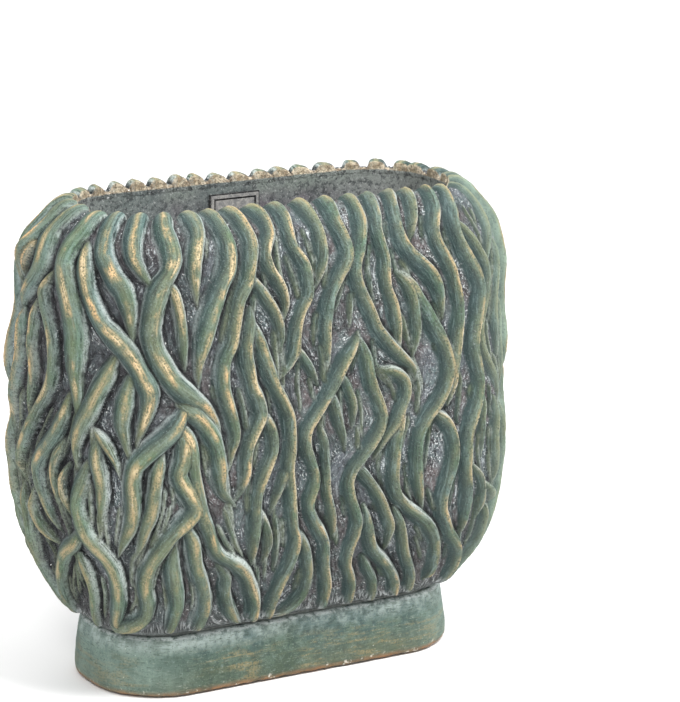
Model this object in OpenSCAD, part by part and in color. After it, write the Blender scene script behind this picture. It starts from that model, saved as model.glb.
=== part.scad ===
// Oval planter on a plinth: a thin-walled cast core with a barrel profile,
// wrapped in wavy tendril strands that curl over the rim, bedded on a low
// rounded plinth. A rubber bung closes the drain hole in the floor.
// Origin: middle of the footprint, on the floor. +Z up, long side along X,
// the front faces -Y. All sizes in millimetres.

/* [Mouth] */
// Half length of the straight part of the mouth's long sides
mouth_flat_x = 95.8; // [90:0.1:100]
// Half length of the straight part of the mouth's short sides
mouth_flat_y = 14.8; // [12:0.1:18]
// Corner radius of the mouth
mouth_r = 36.5; // [34:0.5:39]

/* [Body] */
// Thickness of the body's floor
floor_t = 16; // [12:1:20]
// Diameter of the drain hole
drain_d = 22; // [16:1:26]
// Diameter of the counterbore that the bung's head sits in
seat_d = 34; // [30:1:40]
// Depth of that counterbore
seat_h = 4; // [3:0.5:6]

/* [Plinth] */
// Height of the plinth's top above the floor
plinth_top = 40; // [38:0.5:40]
// Wall thickness of the plinth
plinth_wall = 20; // [16:1:24]
// Thickness of the mortar bed between plinth and body
bed_t = 2; // [1:0.5:2]
// Depth of the locating rib under the body
rib_h = 8; // [4:1:12]

/* [Fittings] */
// Diameter of each foot pad
pad_d = 14; // [10:1:15]
// How far the pads stand proud of the plinth
pad_proud = 1; // [0.5:0.5:1]
// Width of the blank plate on the inner back wall
plate_w = 39; // [30:1:44]
// Height of the blank plate
plate_h = 23; // [16:1:26]
// Gap around the bung's stem
bung_gap = 0.3; // [0.1:0.1:0.5]

/* [Hidden] */
$fn = 96;

body_z = plinth_top + bed_t;         // underside of the body
floor_z = body_z + floor_t;          // top of the body's floor
plinth_x = 85.5;                     // straight half lengths of the plinth
plinth_y = 8;
plinth_r = 50;                       // its greatest corner radius
hole_r = plinth_r - plinth_wall - 1.5;   // corner radius of its hollow
pad_t = pad_proud + 1.5;             // a pad sits in a 1.5 mm pocket
pad_x = 108;
pad_y = 33;
strand_w = 1.15;                     // breadth of the strands, as a share of the widths listed
strand_h = 9;                        // height of a strand's crest above the core
strand_bed = 3;                      // depth of its bed below the core's surface
bed_step = 0.5;                      // beds get shallower by this from strand to strand, in fours
end_bed_step = 0.4;                  // the same on the ends

// Core's outer profile: [distance outside the mouth line, height]
core = [[-3, body_z], [1, body_z + 1.5], [3, 46], [8, 56], [17.5, 75], [23.5, 90],
        [27.5, 105], [31, 127], [32.8, 150], [33.4, 175], [33.2, 200],
        [32.2, 225], [30.8, 250], [29.6, 270], [28, 284], [25.6, 294],
        [22.5, 301.5], [18.5, 308], [14, 313.5], [9, 318], [5, 321],
        [2.5, 322.5]];
// Core's inner profile, from the floor up to the mouth
cavity = [[-4, floor_z], [1, floor_z + 2], [4, floor_z + 7], [9, 80], [14, 105],
          [17, 128], [18, 150], [18.6, 180], [18, 215], [15.5, 237],
          [12, 255], [7, 270], [3, 281], [0.4, 290], [0.4, 318],
          [1.2, 321.5], [3, 324]];
// Plinth's outer profile: [radius, height]
foot = [[46, pad_proud], [48, pad_proud + 0.8], [49.6, pad_proud + 2.6], [50.3, 8],
        [50.2, 13], [49.6, 19], [48.8, 25], [47.8, 31], [46.6, 35.5],
        [45, 38.4], [43, 39.6], [41, plinth_top]];

// Envelope of the strands: [distance outside the mouth line, height],
// walked from the inner edge of the mouth over the shoulder to the seam
env = [[0, 330], [4.7, 331], [13.5, 327], [20.6, 320], [31.4, 305], [37.5, 285],
       [39.6, 250], [42, 200], [41.6, 150], [36, 105], [25.7, 75], [15.5, 56],
       [11.3, 46], [6.1, 41]];
function run(i) = i == 0 ? 0 : run(i - 1) + norm(env[i] - env[i - 1]);
along_e = [for (i = [0 : len(env) - 1]) [run(i), env[i][0]]];
along_z = [for (i = [0 : len(env) - 1]) [run(i), env[i][1]]];

// A place on the envelope: u runs round the widest ring from the middle of
// the front, t runs down the profile from the mouth, in is the depth below.
f1 = 98.8; f2 = 217.6; f3 = 254.8;
function ring(u, e) =
    let (s = u < 0 ? -1 : 1, a = abs(u), A = 132.3 + e, B = 50.8 + 1.032 * e,
         r = 0.804 * B)
    a <= f1 ? [s * a / f1 * (A - r), -B] :
    a <= f2 ? let (q = (a - f1) / (f2 - f1) * 90)
        [s * (A - r + r * sin(q)), -(B - r) - r * cos(q)] :
    a <= f3 ? [s * A, -(B - r) + (a - f2) / (f3 - f2) * 2 * (B - r)] :
    let (q = (a - f3) / (f2 - f1) * 90)
        [s * (A - r + r * cos(q)), (B - r) + r * sin(q)];
function tilt(t) = let (d = [lookup(t + 3, along_e) - lookup(t - 3, along_e),
                             lookup(t + 3, along_z) - lookup(t - 3, along_z)])
    d / max(norm(d), 0.01);
function spot(u, t, in) =
    let (d = tilt(t), e = lookup(t, along_e) + in * d[1], z = lookup(t, along_z) - in * d[0],
         p = ring(u, e))
    [p[0], p[1], z];

// Strands on the front: [width, depth of the crest, [u, t] from top to foot]
FRONT = [
[13,0,[[-147,3],[-148,14],[-149,26],[-146,38],[-140,47],[-134,55]]],
[15,0,[[-172,3],[-174,14],[-175,24],[-172,36],[-166,45],[-160,53],[-153,61],[-149,71],[-147,81],[-146,91]]],
[14,0,[[-124,3],[-123,16],[-118,27],[-116,38],[-119,48],[-125,57],[-129,66],[-132,78],[-133,88],[-131,98],[-127,107],[-120,118],[-112,127],[-103,134],[-94,141],[-87,150],[-84,157]]],
[14,0,[[-191,34],[-187,46],[-182,59],[-175,73],[-167,85],[-158,93],[-149,102],[-143,110],[-138,119],[-134,128],[-135,138],[-138,148],[-141,157]]],
[9,2,[[-119,56],[-115,64],[-112,76],[-110,90],[-109,104],[-108,112]]],
[12,0,[[-88,3],[-89,12],[-92,23],[-96,34],[-99,46],[-99,58],[-98,68]]],
[14,0,[[-72,3],[-72,14],[-72,27],[-72,38],[-74,49],[-79,58],[-84,68],[-89,79],[-93,91],[-96,102],[-98,113],[-98,120]]],
[12,0,[[-57,3],[-55,18],[-54,31],[-57,46],[-61,60],[-67,70],[-70,80],[-72,90],[-74,100],[-79,110],[-81,122],[-80,132],[-77,142],[-74,152],[-72,162],[-74,172],[-75,182]]],
[11,1,[[-58,56],[-54,63],[-48,72],[-42,81],[-38,90],[-36,100],[-36,108]]],
[12,0,[[-59,82],[-61,91],[-63,101],[-63,111],[-61,121],[-59,131],[-55,141],[-53,150],[-57,159],[-62,169],[-64,180],[-64,190],[-66,199],[-69,206]]],
[13,0,[[-57,90],[-54,100],[-50,113],[-46,124],[-41,135],[-36,144],[-32,154],[-31,166],[-31,177],[-32,187],[-31,197],[-30,207],[-29,218],[-27,230],[-24,241],[-24,252],[-26,263],[-29,274],[-31,286],[-32,297],[-31,307]]],
[9,2,[[-32,185],[-35,195],[-38,204],[-41,213],[-43,220]]],
[11,0,[[-37,3],[-36,14],[-38,26],[-42,35],[-45,44],[-43,54],[-38,62],[-34,70],[-32,78],[-33,87]]],
[12,0,[[-20,3],[-21,16],[-24,28],[-24,38],[-21,46],[-17,54],[-16,64],[-16,74],[-21,83],[-24,91],[-26,101],[-27,110],[-31,120],[-36,127]]],
[9,1,[[-25,108],[-21,115],[-16,122],[-11,130],[-8,136]]],
[11,0,[[-2,3],[-2,14],[-1,26],[-1,38],[-2,49],[-4,58],[-7,67]]],
[13,0,[[16,3],[15,14],[14,24],[16,35],[17,46],[14,55],[9,62],[4,70],[0,78],[-2,88],[-3,98],[-2,109],[-1,119],[-1,126]]],
[13,0,[[37,3],[36,12],[34,24],[31,35],[27,46],[22,56],[21,65],[24,75],[29,85],[33,94],[37,103],[44,112],[51,120],[59,127],[66,133],[69,140]]],
[11,0,[[54,3],[51,12],[47,23],[44,34],[44,45],[45,56],[44,66],[45,75],[49,86],[52,99],[54,111],[56,120]]],
[14,0,[[69,3],[65,14],[62,25],[60,36],[61,46],[66,55],[74,63],[81,71],[86,80],[89,90],[91,98]]],
[9,0,[[87,3],[83,13],[78,23],[74,33],[71,43]]],
[12,0,[[111,3],[105,12],[98,21],[92,30],[88,39],[88,48],[92,58],[96,67],[99,78],[102,90],[102,102],[100,114],[98,126],[97,138],[97,150],[96,160]]],
[14,0,[[136,3],[128,11],[119,18],[112,26],[107,35],[106,44],[109,55],[115,67],[121,79],[123,89],[120,102],[116,114],[114,124],[117,136],[120,148],[119,160],[114,172],[110,184],[109,197],[110,210],[113,226],[115,240],[119,253],[123,262]]],
[10,1,[[57,68],[62,77],[66,88],[68,100],[69,112],[68,124]]],
[14,0,[[61,70],[67,82],[74,93],[80,104],[86,114],[91,125],[93,137],[90,149],[84,159],[76,168],[70,179],[68,191],[69,203],[71,214],[75,225],[78,233]]],
[13,0,[[26,112],[28,122],[30,133],[33,143],[37,152],[40,162],[38,171],[32,180],[25,189],[18,197],[15,207],[17,217],[21,227],[24,236],[23,247],[21,259],[22,270],[27,281],[32,293],[35,305]]],
[13,0,[[22,109],[17,114],[12,120],[7,128],[1,138],[-6,148],[-13,157],[-19,166],[-19,177],[-15,187],[-12,196],[-12,204],[-15,213],[-15,221],[-11,230],[-5,240],[0,250],[2,261],[5,273],[9,284],[12,296],[14,306]]],
[12,1,[[44,132],[51,135],[58,141],[59,150],[55,160],[51,169],[45,177],[41,184],[38,191]]],
[14,0,[[-160,109],[-165,119],[-171,129],[-176,139],[-182,149],[-187,159],[-189,170],[-188,181]]],
[13,1,[[-148,121],[-150,130],[-152,140],[-153,149],[-151,159],[-149,168]]],
[13,0,[[-109,140],[-114,148],[-121,156],[-130,163],[-138,170],[-144,177],[-146,187],[-146,198],[-146,209],[-148,219],[-153,230],[-156,237]]],
[14,0,[[-110,138],[-103,144],[-96,151],[-90,160],[-86,170],[-84,181],[-83,192],[-80,201],[-74,208]]],
[15,0,[[-181,183],[-185,193],[-189,206],[-187,218],[-183,228],[-176,236],[-169,243],[-164,252],[-162,263],[-163,275],[-166,287],[-171,297]]],
[14,0,[[-172,163],[-172,174],[-169,186],[-168,197],[-169,208],[-170,220]]],
[8,1,[[-172,156],[-166,161],[-161,168],[-157,176],[-155,184]]],
[11,0,[[-126,171],[-129,183],[-131,196],[-133,208],[-137,219],[-140,230],[-144,240]]],
[14,0,[[-112,153],[-110,164],[-111,174],[-114,183],[-111,191],[-106,199],[-102,208],[-107,215],[-114,221],[-121,228],[-127,236],[-133,245],[-138,256],[-139,268],[-138,280],[-140,291],[-148,298],[-158,302],[-170,305]]],
[15,0,[[-117,241],[-118,252],[-116,264],[-113,276],[-112,288],[-114,300]]],
[13,0,[[-107,222],[-103,232],[-101,243],[-98,254],[-93,266],[-89,278],[-87,290],[-88,303]]],
[13,0,[[-112,151],[-107,162],[-104,175],[-102,188],[-99,201],[-96,214],[-91,226],[-87,237],[-81,246],[-73,252],[-65,259],[-58,267],[-53,278],[-48,290],[-45,301],[-44,308]]],
[12,1,[[-79,257],[-74,265],[-73,276],[-70,287],[-65,298],[-59,307]]],
[12,0,[[-50,150],[-46,159],[-44,169],[-45,179],[-50,190],[-54,200],[-56,211],[-56,223],[-56,235],[-55,247],[-54,258]]],
[9,1,[[-52,218],[-48,228],[-45,238],[-44,249],[-45,259]]],
[10,1,[[-6,166],[-4,180],[-3,193],[-2,206],[1,219],[4,230],[7,241],[9,249]]],
[10,1,[[2,142],[4,153],[7,164],[11,174],[13,183]]],
[9,1,[[10,131],[14,141],[18,152],[19,162],[19,168]]],
[12,0,[[21,195],[27,203],[34,211],[41,222],[46,232],[51,243],[53,254],[54,264]]],
[13,0,[[31,230],[33,241],[37,253],[42,263],[49,271],[57,279],[64,288],[70,297],[74,306]]],
[11,1,[[37,270],[42,280],[49,290],[54,300],[56,308]]],
[13,0,[[58,161],[54,171],[51,183],[50,196],[50,207],[53,219],[59,227],[67,235],[77,243],[85,251],[91,260],[95,270],[98,280],[100,290]]],
[14,0,[[84,167],[91,174],[96,184],[98,196],[97,207],[94,218],[92,229],[94,241],[99,251],[106,261],[115,270],[123,280],[128,291],[132,301]]],
[12,0,[[55,233],[60,245],[65,258],[70,270],[76,281],[82,292],[86,303]]],
[13,0,[[-18,242],[-15,251],[-12,260],[-9,271],[-8,282],[-8,291],[-12,300],[-17,305]]],
[10,1,[[121,211],[128,221],[132,233],[134,244],[136,254]]],
];

// Strands on the left end
LEFT = [
[26,0,[[-200,3],[-203,12],[-207,24],[-211,36],[-211,48],[-207,58],[-201,68],[-195,80],[-192,92],[-192,104],[-191,118],[-189,130],[-188,143]]],
[22,0,[[-240,3],[-243,12],[-247,24],[-247,34],[-244,44],[-244,54],[-249,63],[-258,72],[-268,80],[-278,88]]],
[13,0,[[-228,60],[-232,70],[-229,80],[-222,91],[-216,101],[-213,111],[-214,122],[-219,133],[-227,144],[-235,153],[-243,163],[-251,174],[-258,185],[-262,196],[-257,206]]],
[12,1,[[-246,83],[-246,96],[-246,109],[-242,122],[-241,135],[-245,149],[-248,160]]],
[18,0,[[-198,140],[-202,151],[-210,162],[-220,172],[-230,181],[-236,190],[-235,201],[-230,212],[-223,223],[-215,230]]],
[14,2,[[-203,168],[-210,180],[-213,193],[-211,206],[-207,217]]],
[9,0,[[-197,183],[-201,191],[-201,201],[-197,211],[-193,219]]],
[16,0,[[-189,229],[-196,237],[-205,243],[-214,251],[-222,260],[-231,270],[-239,280],[-247,290],[-254,300]]],
[13,0,[[-193,247],[-188,256],[-186,267],[-188,278],[-193,289],[-199,300]]],
[12,1,[[-247,212],[-246,224],[-239,234],[-229,240],[-217,243]]],
[14,0,[[-262,212],[-258,225],[-257,238],[-260,250],[-266,261],[-272,272],[-276,285],[-278,300]]],
[16,0,[[-268,3],[-267,15],[-264,28],[-266,40],[-272,52],[-280,62],[-287,74]]],
[9,1,[[-256,38],[-261,48],[-266,58],[-273,66]]],
[12,0,[[-270,92],[-264,104],[-262,118],[-266,132],[-272,146],[-276,160],[-275,174]]],
[14,0,[[-292,3],[-290,16],[-286,30],[-288,44],[-294,58],[-298,72],[-296,86],[-290,98],[-286,112],[-288,126],[-293,140],[-296,154]]],
[13,0,[[-284,150],[-280,164],[-282,178],[-289,190],[-293,204],[-290,218],[-284,230],[-282,244]]],
];

// Strands on the right end, up to where the left end's twin takes over
RIGHT = [
[12,1,[[112,34],[119,43],[125,51],[131,61],[136,71],[138,83],[133,95],[127,106],[125,117],[128,128],[134,137],[143,147],[152,156],[162,166]]],
[13,0,[[160,3],[160,13],[158,25],[154,38],[149,50],[144,61],[141,71]]],
[12,1,[[141,229],[149,236],[158,243],[168,249]]],
[10,2,[[131,160],[130,172],[129,184],[130,196],[133,208]]],
[12,0,[[162,56],[160,68],[158,80],[154,92],[150,104],[149,116],[153,128],[158,140]]],
[13,0,[[150,170],[146,182],[145,195],[149,208],[156,220],[161,232]]],
[14,0,[[166,176],[162,190],[164,204],[170,216],[175,228],[177,242],[174,254],[168,266],[164,278],[166,292],[170,304]]],
[13,0,[[142,244],[146,256],[150,268],[152,280],[148,292],[144,304]]],
[12,0,[[190,250],[186,264],[184,276],[188,290],[194,302]]],
[11,1,[[168,96],[168,110],[166,124],[168,138],[172,150],[172,164]]],
];

// Every second point of a path, with its last one
function thin(p) = [for (i = [0 : len(p) - 1]) if (i % 2 == 0 || i == len(p) - 1) p[i]];
function unit(v) = v / max(norm(v), 0.001);
// Cross section: [share of the width, share of the depth below the crest]
coil = [[-0.5, 1], [-0.25, 0], [0.25, 0], [0.5, 1]];
function section(p, i, w, low, wide, deep) =
    let (n = len(p), d = unit(p[min(i + 1, n - 1)] - p[max(i - 1, 0)]))
    [for (c = coil)
        let (o = c[0] * w * wide, q = p[i] + [d[1], -d[0]] * o,
             h = low + (1 - wide) * 3 + c[1] * (deep - low - (1 - wide) * 3))
        spot(q[0], max(q[1], 1), h)];

// One strand: a half-round coil laid along its path. Its top end is rounded
// off at the rim, and elsewhere an end runs out to a point.
module strand(s, k, step) {
    deep = strand_h + strand_bed - step * (k % 4);
    p = thin(s[2]); n = len(p); w = s[0] * strand_w; low = s[1];
    at_rim = p[0][1] < 8; at_foot = p[n - 1][1] > 285;
    wide = [for (i = [0 : n - 1])
        i == 0 ? (at_rim ? 0.9 : 0.5) :
        i == n - 1 ? (at_foot ? 0.8 : 0.45) : 1];
    rings = [for (i = [0 : n - 1]) section(p, i, w, low, wide[i], deep)];
    pts = [for (r = rings) each r];
    m = len(coil);
    faces = concat(
        [[for (k = [0 : m - 1]) m - 1 - k]],
        [[for (k = [0 : m - 1]) (n - 1) * m + k]],
        [for (i = [0 : n - 2], k = [0 : m - 1])
            let (a = i * m + k, b = i * m + (k + 1) % m)
            each [[a, b, a + m], [b, b + m, a + m]]]);
    polyhedron(pts, faces, convexity = 6);
    // run-out of the lower end, which starts inside the strand
    d = unit(p[n - 1] - p[n - 2]); tip = p[n - 1] + d * w * (at_foot ? 0.3 : 0.55);
    root = section([p[n - 2], p[n - 1] * 0.75 + p[n - 2] * 0.25], 1, w, low + 0.4, wide[n - 1] * 0.9, deep);
    hull() {
        wedge(root);
        peg(spot(tip[0], min(tip[1], 313), low + (deep - low) * 0.75), spot(tip[0], min(tip[1], 313), deep - 1));
    }
}
// A thin slab on a ring of points, to start a run-out from
module wedge(r) {
    polyhedron([r[0], r[1], r[2], r[3], (r[0] + r[3]) / 2 * 0.999],
        [[0, 1, 2, 3], [1, 0, 4], [2, 1, 4], [3, 2, 4], [0, 3, 4]]);
}
module peg(a, b) {
    translate(a) cube(1.2, center = true);
    translate(b) cube(1.2, center = true);
}

// A solid with straight sides and round corners that follows a profile
module rounded(p, hx, hy) {
    n = len(p);
    for (k = [0 : 3])
        translate([(k == 0 || k == 3 ? 1 : -1) * hx, (k < 2 ? 1 : -1) * hy, 0])
            rotate([0, 0, 90 * k]) rotate_extrude(angle = 90)
                polygon(concat([[0, p[0][1]]], p, [[0, p[n - 1][1]]]));
    rotate([90, 0, 90]) translate([0, 0, -hx]) linear_extrude(2 * hx)
        polygon(concat([for (q = p) [hy + q[0], q[1]]],
                       [for (i = [n - 1 : -1 : 0]) [-hy - p[i][0], p[i][1]]]));
    rotate([90, 0, 0]) translate([0, 0, -hy]) linear_extrude(2 * hy)
        polygon(concat([for (q = p) [hx + q[0], q[1]]],
                       [for (i = [n - 1 : -1 : 0]) [-hx - p[i][0], p[i][1]]]));
}
module slab(r, hx, hy, z0, z1) {
    rounded([[r, z0], [r, z1]], hx, hy);
}

module body_shell() {
    color([0.30, 0.35, 0.33]) {
        difference() {
            rounded([for (q = core) [mouth_r + q[0], q[1]]], mouth_flat_x, mouth_flat_y);
            rounded([for (q = cavity) [mouth_r + q[0], q[1]]], mouth_flat_x, mouth_flat_y);
            translate([0, 0, body_z - 1]) cylinder(d = drain_d, h = floor_t + 2);
            translate([0, 0, floor_z - seat_h]) cylinder(d = seat_d, h = seat_h + 1);
        }
        // locating rib under the body, inside the plinth's hollow
        difference() {
            slab(hole_r - 0.5, plinth_x, plinth_y, body_z - rib_h - bed_t, body_z + 1);
            slab(hole_r - 6.5, plinth_x, plinth_y, body_z - rib_h - bed_t - 1, body_z + 2);
        }
    }
}

module strands_front() {
    color([0.38, 0.47, 0.39]) for (k = [0 : len(FRONT) - 1]) strand(FRONT[k], k, bed_step);
}
module strands_back() {
    color([0.36, 0.45, 0.38]) rotate([0, 0, 180])
        for (k = [0 : len(FRONT) - 1]) strand(FRONT[k], k, bed_step);
}
module end_strands() {
    for (k = [0 : len(LEFT) - 1]) strand(LEFT[k], k, end_bed_step);
    rotate([0, 0, 180]) for (k = [0 : len(RIGHT) - 1]) strand(RIGHT[k], k, end_bed_step);
}
module strands_left_end() {
    color([0.42, 0.50, 0.41]) end_strands();
}
module strands_right_end() {
    color([0.34, 0.43, 0.37]) rotate([0, 0, 180]) end_strands();
}

module plinth() {
    color([0.42, 0.52, 0.47]) difference() {
        rounded(foot, plinth_x, plinth_y);
        slab(hole_r, plinth_x, plinth_y, 0, plinth_top + 1);
        for (x = [-1, 1], y = [-1, 1])
            translate([x * pad_x, y * pad_y, 0]) cylinder(d = pad_d, h = pad_t);
    }
}

module mortar_bed() {
    color([0.62, 0.66, 0.64]) difference() {
        slab(40, plinth_x, plinth_y, plinth_top, body_z);
        slab(hole_r, plinth_x, plinth_y, plinth_top - 1, body_z + 1);
    }
}

// Blank plate with a raised frame between two grooves, glued to the inner back wall
module name_plate() {
    plate_y = mouth_flat_y + mouth_r - 1.4;
    color([0.40, 0.42, 0.41]) translate([4.8, plate_y, 305.5]) {
        plate_layer(0, 0, 1.8);
        difference() {
            plate_layer(1, -0.8, 0.9);
            plate_layer(3.2, -1, 1.2);
        }
        plate_layer(4.2, -0.5, 0.6);
    }
}
// A layer of the plate, in from its edges, from y on and t thick
module plate_layer(in, y, t) {
    translate([in - plate_w / 2, y, in - plate_h / 2]) cube([plate_w - 2 * in, t, plate_h - 2 * in]);
}

module drain_bung() {
    color([0.12, 0.12, 0.12]) {
        translate([0, 0, floor_z - seat_h]) cylinder(d = seat_d - 2, h = seat_h);
        translate([0, 0, body_z + 1]) cylinder(d = drain_d - 2 * bung_gap, h = floor_t - 1 - seat_h / 2);
        translate([0, 0, floor_z - 1]) cylinder(d = 9, h = 8);
        translate([0, 0, floor_z + 6]) cylinder(d = 14, h = 3);
    }
}

module pad(sx, sy) {
    color([0.25, 0.22, 0.20]) translate([sx * pad_x, sy * pad_y, 0])
        cylinder(d = pad_d - 0.2, h = pad_t);
}
module pad_front_left() { pad(-1, -1); }
module pad_front_right() { pad(1, -1); }
module pad_back_left() { pad(-1, 1); }
module pad_back_right() { pad(1, 1); }

body_shell();
strands_front();
strands_back();
strands_left_end();
strands_right_end();
plinth();
mortar_bed();
name_plate();
drain_bung();
pad_front_left();
pad_front_right();
pad_back_left();
pad_back_right();
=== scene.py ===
import bpy
import math
import numpy as np
from mathutils import Vector, Matrix


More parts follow.
